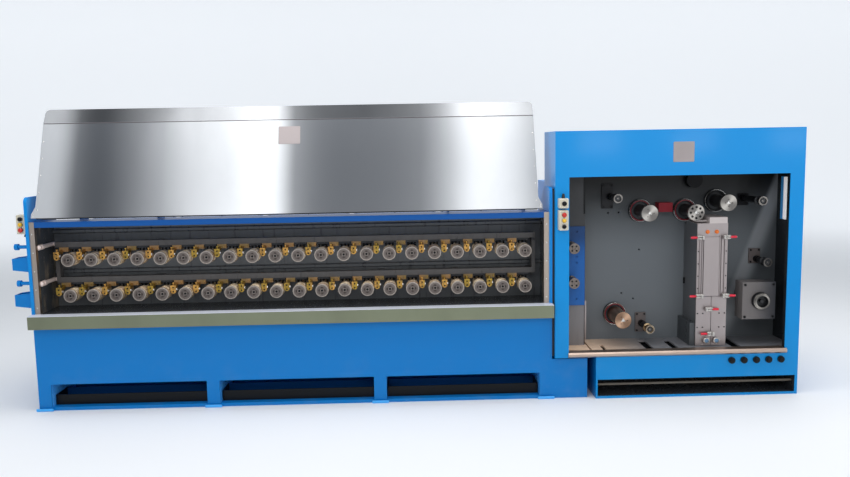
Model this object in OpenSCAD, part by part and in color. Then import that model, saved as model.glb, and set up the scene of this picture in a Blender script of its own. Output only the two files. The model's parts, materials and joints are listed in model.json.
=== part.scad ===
// Multi-wire drawing machine with its annealer cabinet.
// X runs along the machine, the working side faces -Y, Z is up, and the floor is z = 0.
// Outside the Hidden section every y is measured back from the cabinet's front face.

/* [Drawing machine] */
// Length over both end plates
draw_len = 3740; // [2600:20:4600]
// How far its front stands behind the cabinet's front
draw_setback = 40; // [20:5:80]
// Thickness of the blue end plates
end_plate_t = 22; // [12:1:40]
// Height of the end plates
end_plate_h = 1555; // [1500:5:1700]
// Depth of the end plates, front to back
end_plate_d = 460; // [430:10:600]
// Height of the base, up to the tray
base_h = 700; // [640:10:760]
// Depth of the wet chamber behind the front plane
chamber_d = 390; // [360:10:520]
// Height of the chamber's front beam at its top
beam_top = 1378; // [1360:1:1400]
// Height of the front beam itself
beam_h = 40; // [30:5:80]
// Depth of the front beam
beam_d = 180; // [120:10:220]
// Width of the stainless jamb strips
jamb_w = 37; // [20:1:60]
// Thickness of folded sheet
sheet_t = 5; // [3:1:8]

/* [Base recesses] */
// Number of recesses along the drawing machine's base
recess_n = 3; // [2:1:4]
// Height of the recess top edge
recess_top = 195; // [140:5:260]
// Width of the feet between recesses
foot_w = 92; // [60:2:140]
// Height of the kick strip on the floor
kick_h = 25; // [10:1:40]
// Height of the drain trough in a recess
trough_h = 75; // [40:5:90]
// Thickness of a foot's sole plate
sole_t = 12; // [8:1:20]

/* [Ledge] */
// How far the ledge's top stands above the base
ledge_lift = 15; // [5:1:30]
// Height of the ledge's front face
ledge_h = 95; // [60:1:120]
// How far the ledge sticks out in front of the chamber
ledge_reach = 85; // [50:1:120]

/* [Capstans and dies] */
// Capstans in a row
row_n = 21; // [9:1:25]
// Distance between capstans along a row
row_pitch = 166.6; // [140:0.1:180]
// Height of the lower row above the base
row_low = 122; // [110:1:130]
// Height of the upper row above the lower one
row_rise = 264; // [250:1:275]
// Diameter of a capstan
cap_d = 98; // [70:1:110]
// Free length of a capstan, from the back wall
cap_len = 280; // [200:5:300]
// Width of a brass die block
die_w = 40; // [24:1:44]
// Height of a brass die block
die_h = 60; // [36:1:70]
// Height of a spray header tube
header_h = 40; // [30:1:50]
// Depth of a spray header tube
header_d = 60; // [40:1:90]
// Wall of a spray header tube
header_wall = 4; // [3:0.5:8]

/* [Hood] */
// Length of the hood
hood_len = 3570; // [2400:10:4400]
// How far the open hood's lower edge stands out in front of the chamber
hood_out = 16; // [10:1:24]
// Height of the flat face, along its slope
hood_face = 717; // [600:1:760]
// Height of the folded top strip, along its slope
hood_strip = 116; // [60:1:140]
// Lean of the open hood, in degrees
hood_lean = 20.5; // [10:0.5:30]
// Further lean of the folded top strip
strip_bend = 12; // [5:1:25]
// Depth of the hood's side returns
hood_return = 20; // [14:1:22]
// Height of the open hood's lower edge
hood_z = 1407; // [1395:1:1450]
// Length of a lifting arm, pin to pin
arm_len = 523; // [500:0.1:560]
// Angle of the open arm above the horizontal
arm_open = 62.3; // [58:0.1:66]
// Diameter of the torque tube
tube_shaft_d = 50; // [30:1:60]
// Diameter of the hood pins
hood_pin_d = 20; // [12:1:30]

/* [Cabinet] */
// Width of the annealer cabinet
cab_w = 1790; // [1500:10:2200]
// Height of the cabinet
cab_h = 1950; // [1800:10:2100]
// Depth of the cabinet's front box
cab_d = 440; // [420:10:600]
// Gap between the drawing machine and the cabinet
cab_gap = 15; // [5:1:40]
// Thickness of the cabinet's walls
cab_wall = 6; // [3:1:12]
// Left edge of the window, from the cabinet's left side
win_x = 100; // [70:1:160]
// Width of the window
win_w = 1587; // [1300:1:1600]
// Bottom of the window
win_z = 333; // [320:1:400]
// Height of the window
win_h = 1291; // [1100:1:1300]
// Depth of the folded edge round the window
win_return = 45; // [20:1:80]
// Setback of the cabinet's base on the left
base_inset = 300; // [200:5:400]
// Underside of the overhanging part
overhang_z = 310; // [300:1:330]
// Depth of the annealer room, back to its plate
room_d = 400; // [380:5:410]

/* [Annealer] */
// Radius of a contact wheel's face
wheel_r = 62; // [40:1:75]
// Radius of the fixed ring behind a wheel
ring_r = 86; // [78:1:100]
// Radius of a guide roller
roller_r = 33; // [20:1:40]
// Width of the annealing tube housing
tube_w = 226; // [180:2:300]
// Front of the tube housing, back from the cabinet's front
tube_y = 120; // [80:5:160]
// Bottom of the tube housing
tube_z = 348; // [346:1:360]
// Height of the tube housing
tube_h = 914; // [860:1:925]
// Height of the tube's lower doors
door_h = 370; // [280:1:420]
// Width of the roller block
block_w = 246; // [180:1:260]
// Height of the roller block
block_h = 276; // [240:1:300]
// Depth of the roller block
block_d = 132; // [100:1:160]
// Running gap round a turning piece
run_gap = 6; // [5:0.5:10]
// Clearance round a shaft in its bore
shaft_gap = 0.5; // [0.3:0.1:1]

/* [Draw-off] */
// Distance of the draw-off capstans from the cabinet's left side
drawoff_x = 154; // [140:1:170]
// Radius of a draw-off capstan
drawoff_r = 40; // [30:1:46]
// Width of the draw-off plate
drawoff_w = 187; // [160:1:190]
// Height of the draw-off plate
drawoff_h = 595; // [500:5:620]
// Bottom of the draw-off plate
drawoff_z = 655; // [620:5:680]
// Width of the box that carries it
housing_w = 266; // [264:1:290]
// Front of that box, back from the cabinet's front
housing_y = 230; // [220:5:260]

/* [Inlets and stations] */
// How far the wire inlet boxes reach out at the left end
inlet_reach = 150; // [100:5:200]
// Height of an inlet box at the end plate
inlet_h = 112; // [80:1:140]
// Depth of an inlet box at the end plate
inlet_d = 150; // [100:1:200]
// Wall of an inlet box
inlet_wall = 5; // [3:1:8]
// Width of a push-button station
station_w = 68; // [50:1:90]
// Height of a push-button station
station_h = 140; // [110:1:170]
// Depth of a push-button station
station_d = 62; // [40:1:80]
// How far a button stands out of its station
button_reach = 24; // [10:1:30]

/* [Rear housings] */
// Height of the gear housing behind the chamber
gear_h = 1300; // [1150:10:1320]
// Back of the gear housing, from the cabinet's front
gear_back = 1180; // [900:10:1400]
// Height of the drive housing behind the annealer
drive_h = 1560; // [1200:10:1700]
// Back of the drive housing, from the cabinet's front
drive_back = 1100; // [800:10:1150]
// Service covers along the gear housing's back
cover_n = 5; // [3:1:6]
// Thickness of a service cover
cover_t = 8; // [5:1:12]
// How far a cover's handles stand out
handle_reach = 26; // [20:1:34]
// Depth of the seam grooves in the cabinet's side
seam_d = 2; // [1:0.5:3]

/* [Hidden] */
$fn = 64;

// Where things stand along X, with the whole machine centred on x = 0
total_w = inlet_reach + draw_len + cab_gap + cab_w;
draw_x0 = -total_w / 2 + inlet_reach;
draw_x1 = draw_x0 + draw_len;
draw_mid = (draw_x0 + draw_x1) / 2;
cab_x0 = draw_x1 + cab_gap;
cab_x1 = cab_x0 + cab_w;
base_x0 = cab_x0 + base_inset;
// The drawing machine's plinth runs on under the cabinet's overhang
plinth_x1 = base_x0 - 55;
// Centre of the whole machine, front to back
front_reach = station_d + button_reach;
mid_y = (gear_back - front_reach) / 2;

// Chamber
inner_x0 = draw_x0 + end_plate_t;
inner_x1 = draw_x1 - end_plate_t;
front_y = draw_setback;
wall_y = front_y + chamber_d;
wall_top = beam_top - 48;
plate_proud = 10;
skin_t = 2;
ledge_top = base_h + ledge_lift;
// Recesses of the base
recess_x0 = draw_x0 + foot_w;
recess_step = (draw_len - foot_w) / recess_n;
// Capstan rows
row_x0 = draw_x0 + 230;
row_z_lower = base_h + row_low;
row_z_upper = row_z_lower + row_rise;
cap_face_y = wall_y - cap_len;
header_y = wall_y - 150;
header_lift = 100;
header_x0 = inner_x0 + 65;
header_x1 = inner_x1 - 63;
riser_w = 27;
bar_w = 88;
bar_h = 16;
clip_first = 150;
clip_pitch = 560;
clip_w = 50;
seat_gap = 0.5;
die_offset = 95;
die_setback = 35;
die_t = 30;
die_drop = 4;
block_offset = 80;
block_half = 34;
block_t = 32;
pipe_d = 30;
pipe_x = inner_x0 + 34;
pipe_front = front_y + 52;
inlet_y = front_y + 50;
// Hood: the lower front edge, then the pin on its back and the arm's pivot behind it
hood_y = front_y - hood_out;
hood_shift = -12;
pin_up = 700;
pin_back = 45;
pin_y = hood_y + pin_up * sin(hood_lean) + pin_back * cos(hood_lean);
pin_z = hood_z + pin_up * cos(hood_lean) - pin_back * sin(hood_lean);
pivot_y = pin_y + arm_len * cos(arm_open);
pivot_z = pin_z - arm_len * sin(arm_open);
arm_x = [-1700, -1110, 1110, 1700];
arm_t = 16;
arm_w = 44;
pin_boss_r = 25;
lug_t = 8;
lug_gap = 3;
// Annealer room, places measured along X from the cabinet's left side and up from the floor
plate_y = room_d;
floor_z = win_z + 12;
wheel_at = [[720, 1345], [1062, 1343], [1300, 1410], [532, 550]];
wheel_drum_r = [48, 48, 48, wheel_r - 4];
wheel_holes = [[3, 30, 4], [8, 41, 9], [4, 26, 4], [3, 30, 4]];
wheel_face_y = 130;
// Guide rollers as [x, z, front], and their bracket plates as [left, right, bottom, top]
guide_at = [[490, 1455, 150], [1513, 1426, 40], [1628, 954, 180], [743, 470, 155]];
guide_plate = [[-61, 24, -90, 96], [-37, 43, -56, 35], [-56, 31, -35, 80], [-46, 34, -69, 82]];
bushing = [1123, 1571, 60];
contact_block = [841, 947, 1336, 1406];
tapped = [[480, 1329], [562, 1331], [723, 1042], [590, 705], [681, 660]];
drawoff_at = [drawoff_z + 448, drawoff_z + 192];
hub_r = 14;
tube_x = 1070;
tube_step = 89;
block_x = 1408;
block_z = 545;
block_y = 100;
spindle_x = block_x + 131;
spindle_z = block_z + block_h / 2;
gear_body = gear_back - cover_t - handle_reach;

function cab(x) = cab_x0 + x;
function cap_x(i) = row_x0 + i * row_pitch;

// The frame's origin lies under the middle of the machine
module place() {
    translate([0, -mid_y, 0]) children();
}

module box(x0, x1, y0, y1, z0, z1) {
    translate([x0, y0, z0]) cube([x1 - x0, y1 - y0, z1 - z0]);
}

// A cylinder along Y, from y0 back to y1
module rod_y(x, y0, y1, z, r) {
    translate([x, y0, z]) rotate([-90, 0, 0]) cylinder(r = r, h = y1 - y0);
}

// A cylinder along X
module rod_x(x0, x1, y, z, r) {
    translate([x0, y, z]) rotate([0, 90, 0]) cylinder(r = r, h = x1 - x0);
}

// A profile of [radius, distance] turned about an axis that runs back along Y from y0
module turned_y(x, y0, z, profile) {
    translate([x, y0, z]) rotate([-90, 0, 0]) rotate_extrude() polygon(profile);
}

// A profile in the (y, z) plane carried along X
module along_x(x0, x1) {
    translate([x0, 0, 0]) rotate([90, 0, 90]) linear_extrude(height = x1 - x0) children();
}

// Body of the base over the recesses, and the floor plate that joins the feet
module draw_base() {
    color("#1f86d0") place() {
        box(draw_x0, draw_x1, front_y, wall_y + 30, recess_top, base_h);
        box(draw_x0, plinth_x1, front_y, cab_d, 0, kick_h);
    }
}

// Feet between the recesses, their sole plates, and the plinth under the cabinet's overhang
module base_feet() {
    color("#1f86d0") place() for (i = [0 : recess_n]) {
        x0 = draw_x0 + i * recess_step;
        box(x0, x0 + foot_w, front_y, wall_y + 30, kick_h, recess_top);
        if (i == recess_n) {
            box(x0 + foot_w - 1, plinth_x1, front_y, cab_d, kick_h, recess_top);
            box(x0 + foot_w, plinth_x1, front_y, cab_d, recess_top - 1, overhang_z - 15);
        }
        box(x0 - (i == 0 ? 0 : 14), x0 + foot_w + 14, front_y - 14, front_y, 0, sole_t);
    }
}

// A dark drain trough with its collecting pipe lies in each recess
module base_troughs() {
    w = 6;
    y0 = front_y + 60;
    y1 = front_y + 250;
    top = kick_h + trough_h;
    color("#1b1d20") place() for (i = [0 : recess_n - 1]) {
        x0 = recess_x0 + i * recess_step + w;
        x1 = recess_x0 + (i + 1) * recess_step - foot_w - w;
        difference() {
            box(x0, x1, y0, y1, kick_h, top);
            box(x0 + w, x1 - w, y0 + w, y1 - w, kick_h + w, top + 1);
        }
        rod_x(x0 + w - 1, x1 - w + 1, y0 + 50, top - 30, 16);
    }
}

// Stainless drip ledge: a folded sheet with closed ends
module drip_ledge() {
    y0 = front_y - ledge_reach;
    z0 = ledge_top - ledge_h;
    color("#b9bdb0") place() difference() {
        box(draw_x0, draw_x1, y0, front_y, z0, ledge_top);
        box(draw_x0 + sheet_t, draw_x1 - sheet_t, y0 + sheet_t, front_y + 1,
            z0 - 1, ledge_top - sheet_t);
    }
}

// End plate with the rounded front corner above the beam
module end_plate(x) {
    y0 = front_y - plate_proud;
    r = 40;
    translate([x, 0, 0]) rotate([90, 0, 90]) linear_extrude(height = end_plate_t)
        difference() {
            union() {
                translate([y0, base_h]) square([end_plate_d, end_plate_h - base_h - r]);
                translate([y0 + r, base_h]) square([end_plate_d - r - 120, end_plate_h - base_h]);
                translate([y0 + r, end_plate_h - r]) circle(r = r);
            }
            polygon([[y0 + end_plate_d + 1, beam_top - 15], [y0 + end_plate_d + 1, end_plate_h + 1],
                [y0 + end_plate_d - 260, end_plate_h + 1]]);
            translate([y0 - 1, base_h - 1])
                square([plate_proud + 1, ledge_top - base_h + 1]);
        }
}
module end_plates() {
    color("#2a92dc") place() for (x = [draw_x0, draw_x1 - end_plate_t]) end_plate(x);
}

// Stainless strips that frame the chamber's opening at each side, up over the beam's face
module jamb_strips() {
    color("#c9c4c6") place() for (side = [0, 1]) {
        x0 = side == 0 ? inner_x0 : inner_x1 - jamb_w;
        along_x(x0, x0 + jamb_w) polygon([[front_y, base_h], [front_y + 30, base_h],
            [front_y + 30, beam_top - beam_h], [front_y, beam_top - beam_h], [front_y, beam_top],
            [front_y - skin_t, beam_top], [front_y - skin_t, ledge_top], [front_y, ledge_top]]);
    }
}

// Grey back wall of the chamber, with its long horizontal folds
module chamber_back() {
    fold = 18;
    mid_z = (row_z_upper + row_z_lower) / 2;
    color("#4b4f52") place()
        along_x(inner_x0, inner_x1) polygon([
            [wall_y, base_h], [wall_y + 20, base_h], [wall_y + 20, wall_top],
            [wall_y, wall_top], [wall_y, wall_top - 40], [wall_y - fold, wall_top - 50],
            [wall_y - fold, wall_top - 68], [wall_y, wall_top - 78], [wall_y, mid_z + 31],
            [wall_y - fold, mid_z + 21], [wall_y - fold, mid_z + 3], [wall_y, mid_z - 7]]);
}

// Front box beam and the roof that slopes down to the back wall
module chamber_roof() {
    color("#1c6fb8") place() along_x(inner_x0, inner_x1) polygon([
        [front_y, beam_top], [front_y, beam_top - beam_h], [front_y + sheet_t, beam_top - beam_h],
        [front_y + sheet_t, beam_top - sheet_t], [front_y + beam_d - 2, beam_top - sheet_t],
        [wall_y, wall_top], [wall_y + 20, wall_top], [wall_y + 20, wall_top + sheet_t],
        [wall_y + 2, wall_top + sheet_t], [front_y + beam_d, beam_top]]);
}

// Spray headers: two square tubes with a riser between them at each end, and a nozzle bar
// over each capstan
module header_tube(z) {
    y1 = header_y + header_d;
    difference() {
        box(header_x0, header_x1, header_y, y1, z, z + header_h);
        box(header_x0 + header_wall, header_x1 - header_wall, header_y + header_wall,
            y1 - header_wall, z + header_wall, z + header_h - header_wall);
    }
}
module spray_headers() {
    z_up = row_z_upper + header_lift - header_h / 2;
    z_low = row_z_lower + header_lift - header_h / 2;
    color("#53585c") place() {
        header_tube(z_up);
        header_tube(z_low);
        for (x = [header_x0, header_x1 - riser_w])
            box(x, x + riser_w, header_y, header_y + header_d, z_low + header_h + seat_gap,
                z_up - seat_gap);
        for (z = [z_up, z_low]) for (i = [0 : row_n - 1])
            box(cap_x(i) - bar_w / 2, cap_x(i) + bar_w / 2, header_y + 8,
                header_y + header_d - 8, z - bar_h, z);
        for (z = [z_up, z_low]) for (x = [header_x0 + clip_first : clip_pitch : header_x1])
            box(x, x + clip_w, header_y + header_d, wall_y, z + 6, z + header_h - 6);
    }
}

// Brass die holder: a block under the header, an arm forward, and the die block in front
module die_holder(x, z) {
    top = z + header_lift - header_h / 2;
    y0 = cap_face_y + die_setback;
    xb = x - block_offset;
    xd = x - die_offset;
    box(xb - block_half, xb + block_half, header_y + 2, header_y + header_d - 2, top - block_t, top);
    along_x(xd - die_w / 4, xd + die_w / 4) polygon([[header_y + 22, top - 10],
        [header_y + 22, top - block_t], [y0 + die_t / 2, z + 6], [y0 + die_t / 2, z + die_h * 0.75]]);
    difference() {
        translate([xd, y0 + die_t, z - die_drop]) rotate([90, 0, 0])
            linear_extrude(height = die_t) {
                translate([-die_w / 2, die_w / 2]) square([die_w, die_h - die_w / 2]);
                translate([0, die_w / 2]) circle(r = die_w / 2);
            }
        for (dz = [die_h * 0.24, die_h * 0.74])
            rod_y(xd, y0 - 1, y0 + die_t + 1, z - die_drop + dz, die_w / 8);
    }
}
module die_holders() {
    color("#c89a3a") place() for (z = [row_z_upper, row_z_lower]) for (i = [0 : row_n - 1])
        die_holder(cap_x(i), z);
}

// Grooved drawing capstan with a recessed end face and its clamping bolt
module capstan(x, z) {
    r = cap_d / 2;
    body = 118;
    turned_y(x, cap_face_y, z, [
        [0, 10], [9, 10], [9, 4], [14, 4], [14, 10], [27, 10], [27, 5], [32, 5], [32, 0],
        [r - 2, 0], [r, 2], [r, 12], [r - 3, 15], [r - 3, 27], [r, 30], [r, 38], [r - 3, 41],
        [r - 3, 53], [r, 56], [r, 64], [r - 3, 67], [r - 3, 79], [r, 82], [r, body],
        [r - 12, body + 6], [r - 12, body + 60], [26, body + 66], [26, cap_len - 14],
        [36, cap_len - 14], [36, cap_len], [0, cap_len]]);
}
module drawing_capstans() {
    color("#b5aca2") place() for (z = [row_z_upper, row_z_lower]) for (i = [0 : row_n - 1])
        capstan(cap_x(i), z);
}

// Lubricant supply pipes: in through the end plate, round an elbow, and back into a header
module supply_pipes() {
    color("#b8a9a3") place() for (z = [row_z_upper, row_z_lower]) {
        zc = z + header_lift + 4;
        yc = header_y + header_d / 2;
        r = pipe_d / 2;
        rod_x(inner_x0, pipe_x, pipe_front, zc, r);
        translate([pipe_x, pipe_front, zc]) sphere(r = r + 5);
        rod_y(pipe_x, pipe_front, yc, zc, r);
        rod_y(pipe_x, pipe_front + 30, pipe_front + 62, zc, r + 5);
        translate([pipe_x, yc, zc]) sphere(r = r);
        rod_x(pipe_x, header_x0, yc, zc, r);
    }
}

// Tapered, open-topped boxes where the wires come in, and the flanged stubs over them
module inlet_box(z) {
    slope = 14;
    yb = inlet_y;
    difference() {
        hull() {
            box(draw_x0 - 1, draw_x0, yb, yb + inlet_d, z, z + inlet_h);
            box(draw_x0 - inlet_reach, draw_x0 - inlet_reach + 1, yb + 22, yb + inlet_d - 22,
                z + slope, z + inlet_h - slope);
        }
        translate([0, 0, inlet_wall]) hull() {
            box(draw_x0 - inlet_wall, draw_x0 - inlet_wall + 1, yb + inlet_wall,
                yb + inlet_d - inlet_wall, z, z + inlet_h + 20);
            box(draw_x0 - inlet_reach + inlet_wall, draw_x0 - inlet_reach + inlet_wall + 1,
                yb + 22 + inlet_wall, yb + inlet_d - 22 - inlet_wall, z + slope, z + inlet_h + 20);
        }
    }
}
module wire_inlets() {
    color("#1f7fc8") place() for (z = [row_z_upper, row_z_lower]) {
        inlet_box(z - 74);
        rod_x(draw_x0 - 95, draw_x0, pipe_front, z + header_lift + 12, 13);
        rod_x(draw_x0 - 109, draw_x0 - 84, pipe_front, z + header_lift + 12, 23);
    }
}

// Push-button station: a box with round buttons on its front
module station(x, y, z, h, buttons) {
    box(x, x + station_w, y - station_d, y, z, z + h);
    for (b = buttons)
        rod_y(x + station_w / 2, y - station_d - button_reach, y - station_d, z + h * b, 15);
}
module push_stations() {
    left_x = draw_x0 - station_w - 12;
    left_y = front_y + 90;
    left_z = end_plate_h - 265;
    pillar_x = cab(17);
    pillar_z = 1251;
    color("#d8d2c4") place() {
        station(left_x, left_y, left_z, station_h, [0.22, 0.5, 0.78]);
        box(left_x + station_w - 8, draw_x0, left_y - 20, left_y - 12, left_z - 20, left_z + 145);
        station(pillar_x, 0, pillar_z, station_h + 4, [0.2, 0.5, 0.78]);
        station(pillar_x, 0, pillar_z + 157, station_h / 2, [0.5]);
        translate([pillar_x + station_w / 2, -station_d / 2, pillar_z + 156 + station_h / 2])
            cylinder(r = 11, h = 40);
    }
}

// Bearing stands of the hood's torque tube
module hood_stands() {
    color("#1f7fc8") place() for (x = arm_x) {
        xs = draw_mid + x + 30;
        difference() {
            union() {
                box(xs, xs + 14, pivot_y - 70, pivot_y + 70, gear_h, pivot_z - 30);
                box(xs, xs + 14, pivot_y - 45, pivot_y + 45, pivot_z - 31, pivot_z);
                rod_x(xs, xs + 14, pivot_y, pivot_z, 45);
                box(xs - 30, xs + 44, pivot_y - 80, pivot_y + 80, gear_h, gear_h + 12);
            }
            rod_x(xs - 1, xs + 15, pivot_y, pivot_z, tube_shaft_d / 2 + shaft_gap);
        }
    }
}

// Torque tube with the lifting arms and their hood pins
module arm_outline() {
    translate([pivot_y, pivot_z]) rotate(180 - arm_open) {
        translate([0, -arm_w / 2]) square([arm_len, arm_w]);
        circle(r = 40);
        translate([arm_len, 0]) circle(r = pin_boss_r);
    }
}
module hood_arms() {
    color("#2a92dc") place() {
        rod_x(draw_mid + arm_x[0] - 30, draw_mid + arm_x[3] + 80, pivot_y, pivot_z,
            tube_shaft_d / 2);
        for (x = arm_x) {
            xa = draw_mid + x - arm_t / 2;
            along_x(xa, xa + arm_t) arm_outline();
            rod_x(xa - lug_t - 6, xa + arm_t + lug_t + 6, pin_y, pin_z, hood_pin_d / 2);
        }
    }
}

// Hood: one folded stainless sheet with side returns, corner tabs and two stiffeners.
// Its own axes start at the lower front edge: n runs back from the face, s runs up along it.
module hood_profile() {
    b = strip_bend;
    t = sheet_t;
    top = [hood_strip * sin(b), hood_face + hood_strip * cos(b)];
    back = [cos(b), -sin(b)];
    down = [-sin(b), -cos(b)];
    polygon([[hood_return, 0], [0, 0], [0, hood_face], top, top + back * 25,
        top + back * 25 + down * t, top + back * t + down * t,
        [t, hood_face - t * tan(b / 2)], [t, t], [hood_return, t]]);
}
module hood_corner(side) {
    r = 35;
    translate([side * hood_len / 2, 0, hood_face]) rotate([-strip_bend, 0, 0])
        translate([0, 40, 0]) rotate([90, 0, 0]) linear_extrude(height = 80) difference() {
            translate([side > 0 ? -r : -1, hood_strip - r]) square([r + 1, r + 1]);
            translate([-side * r, hood_strip - r]) circle(r = r);
        }
}
module hood_lug(x) {
    along_x(x - lug_t / 2, x + lug_t / 2) difference() {
        union() {
            translate([sheet_t + 3, pin_up - 17]) square([pin_back - sheet_t - 3, 34]);
            translate([pin_back, pin_up]) circle(r = 20);
        }
        translate([pin_back, pin_up]) circle(r = hood_pin_d / 2 + shaft_gap);
    }
}
module hood() {
    half = hood_len / 2;
    t = sheet_t;
    xm = draw_mid + hood_shift;
    color("#c4c6ca") place() translate([xm, hood_y, hood_z]) rotate([-hood_lean, 0, 0]) {
        difference() {
            along_x(-half, half) hood_profile();
            for (side = [-1, 1]) hood_corner(side);
        }
        for (side = [-1, 1]) {
            box(side > 0 ? half - t : -half, side > 0 ? half : t - half, t - 1, hood_return - 1,
                1, hood_face - 2);
            translate([side * half, t, 0]) rotate([90, 0, 0]) linear_extrude(height = t)
                polygon([[-side * 10, 0], [side * 25, 0], [side * 25, 30], [0, 85],
                    [-side * 10, 85]]);
        }
        for (s = [hood_face / 3, hood_face * 2 / 3])
            box(1 - half, half - 1, t - 1, hood_return - 2, s, s + t);
    }
}
module hood_lugs() {
    lug_x = arm_t / 2 + lug_gap + lug_t / 2;
    color("#c4c6ca") place() translate([draw_mid, hood_y, hood_z]) rotate([-hood_lean, 0, 0])
        for (x = arm_x) {
            box(x - 60, x + 60, sheet_t, sheet_t + 6, pin_up - 17, pin_up + 15);
            for (side = [-1, 1]) hood_lug(x + side * lug_x);
        }
}

// Gear housing behind the chamber
module gear_housing() {
    color("#1f7fc8") place()
        box(draw_x0 + 30, draw_x1 - 30, wall_y + 30, gear_body, 0, gear_h);
}

// Bolted service covers: along the gear housing's back and top, and on the drive housing's back
module handle(x, y, z) {
    for (dx = [-60, 60]) rod_y(x + dx, y - 1, y + handle_reach - 7, z, 7);
    rod_x(x - 67, x + 67, y + handle_reach - 7, z, 7);
}
module service_covers() {
    gap = 40;
    step = (draw_len - 60 - gap) / cover_n;
    y1 = gear_body + cover_t;
    door = (cab_w - 120 - 3 * gap) / 2;
    color("#1a6bb5") place() {
        for (i = [0 : cover_n - 1]) {
            x0 = draw_x0 + 30 + gap + i * step;
            x1 = x0 + step - gap;
            box(x0, x1, gear_body, y1, 160, gear_h - 90);
            for (dx = [0.25, 0.75]) handle(x0 + (x1 - x0) * dx, y1, gear_h - 260);
            box(x0, x1, pivot_y + 130, gear_body - 60, gear_h, gear_h + cover_t);
        }
        for (i = [0, 1]) {
            x0 = cab_x0 + 60 + gap + i * (door + gap);
            box(x0, x0 + door, drive_back, drive_back + cover_t, 160, drive_h - 90);
            handle(x0 + door / 2, drive_back + cover_t, drive_h - 420);
        }
        for (z = [420 : 60 : 660]) for (i = [0, 1])
            box(cab_x0 + 60 + gap + i * (door + gap) + door * 0.25,
                cab_x0 + 60 + gap + i * (door + gap) + door * 0.75,
                drive_back + cover_t - 1, drive_back + cover_t + 8, z, z + 22);
    }
}

// Cabinet: the folded shell round the annealer room, with its window
module cabinet_shell() {
    w = cab_wall;
    x0 = cab(win_x);
    x1 = x0 + win_w;
    z1 = win_z + win_h;
    color("#2a92dc") place() {
        difference() {
            union() {
                box(cab_x0, cab_x1, 0, cab_d, overhang_z, cab_h);
                box(base_x0, cab_x1, 0, w, 0, overhang_z + 1);
            }
            box(cab_x0 + w, cab_x1 - w, w, cab_d - w, overhang_z + w, cab_h - w);
            box(x0, x1, -1, w + 1, win_z, z1);
            box(base_x0 + 13, cab_x1 - 20, -1, w + 1, 18, 142);
            difference() {
                box(cab_x1 - seam_d, cab_x1 + 1, 40, cab_d - 40, overhang_z + 50, cab_h - 50);
                box(cab_x1 - seam_d - 1, cab_x1 + 2, 40 + 2 * seam_d, cab_d - 40 - 2 * seam_d,
                    overhang_z + 50 + 2 * seam_d, cab_h - 50 - 2 * seam_d);
            }
        }
        difference() {
            box(x0 - w, x1 + w, w - 1, win_return, win_z, z1 + w);
            box(x0, x1, 0, win_return + 1, win_z - 1, z1);
        }
    }
}

// Base under the cabinet, open at the front recess
module cabinet_base() {
    color("#1f7fc8") place() difference() {
        box(base_x0, cab_x1, cab_wall, cab_d, 0, overhang_z);
        box(base_x0 + 13, cab_x1 - 20, 0, cab_d - 60, 18, 142);
    }
}

// Row of five round push-in fittings on the front, and the bright bar in the recess
module air_fittings() {
    color("#202226") place() {
        for (i = [0 : 4]) {
            x = cab(1296 + i * 91);
            rod_y(x, -16, 0, 266, 24);
            rod_y(x, -22, -15, 266, 14);
        }
        rod_x(base_x0 + 13, cab_x1 - 20, 60, 90, 9);
    }
}

// Grey back plate of the annealer room, with its slot and tapped holes
module annealer_back_plate() {
    color("#6b6e72") place() difference() {
        box(cab_x0 + housing_w, cab_x1 - cab_wall, plate_y, plate_y + 12,
            overhang_z + cab_wall, cab_h - cab_wall);
        for (h = tapped) rod_y(cab(h[0]), plate_y - 1, plate_y + 13, h[1], 7);
        for (p = wheel_at) rod_y(cab(p[0]), plate_y - 1, plate_y + 13, p[1], 20 + shaft_gap);
        for (p = guide_at) rod_y(cab(p[0]), plate_y - 1, plate_y + 13, p[1], 10 + shaft_gap);
    }
}

// Floor tray of the room, cut out under the wheels and the tube
module annealer_floor() {
    color("#8b8a86") place() difference() {
        box(cab_x0 + cab_wall, cab_x1 - cab_wall, win_return, plate_y, floor_z - 12, floor_z);
        for (c = [[278, 12, 330], [372, 26, 150], [690, 60, 250], [885, 50, 250], [1330, 70, 290]])
            box(cab(c[0]), cab(c[0] + c[1]), win_return + 25, win_return + 25 + c[2],
                floor_z - 13, floor_z + 1);
    }
}

// Stainless lip along the bottom of the window
module window_lip() {
    color("#d2c6b4") place() {
        along_x(cab(win_x) - 4, cab(win_x + win_w) + 12) polygon([[0, win_z - 20],
            [-8, win_z - 20], [-18, win_z - 10], [-18, win_z + 6], [-8, floor_z + 4],
            [0, floor_z + 4]]);
        along_x(cab(win_x), cab(win_x + win_w)) polygon([[-1, floor_z],
            [win_return + 22, floor_z], [win_return + 22, floor_z + 4], [-1, floor_z + 4]]);
    }
}

// Box at the left of the room that carries the draw-off plate
module drawoff_housing() {
    color("#6f7072") place() difference() {
        box(cab_x0 + cab_wall, cab_x0 + housing_w, housing_y, plate_y + 12,
            floor_z, cab_h - cab_wall);
        for (z = drawoff_at)
            rod_y(cab(drawoff_x), housing_y - 1, housing_y + 60, z, hub_r + shaft_gap);
        box(cab(housing_w - 7), cab(housing_w + 1), housing_y - 1, housing_y + 150,
            drawoff_z + drawoff_h + 90, drawoff_z + drawoff_h + 365);
    }
}
module drawoff_plate() {
    x1 = housing_w - 4;
    top = drawoff_z + drawoff_h;
    color("#1f6fc0") place() difference() {
        box(cab(x1 - drawoff_w), cab(x1), housing_y - 12, housing_y, drawoff_z, top);
        for (z = drawoff_at)
            rod_y(cab(drawoff_x), housing_y - 13, housing_y + 1, z, hub_r + shaft_gap);
        for (z = [drawoff_z + 50, drawoff_at[1] + 130, drawoff_at[0] - 80, top - 40])
            rod_y(cab(x1 - 60), housing_y - 13, housing_y - 4, z, hub_r / 2);
    }
}
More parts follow.
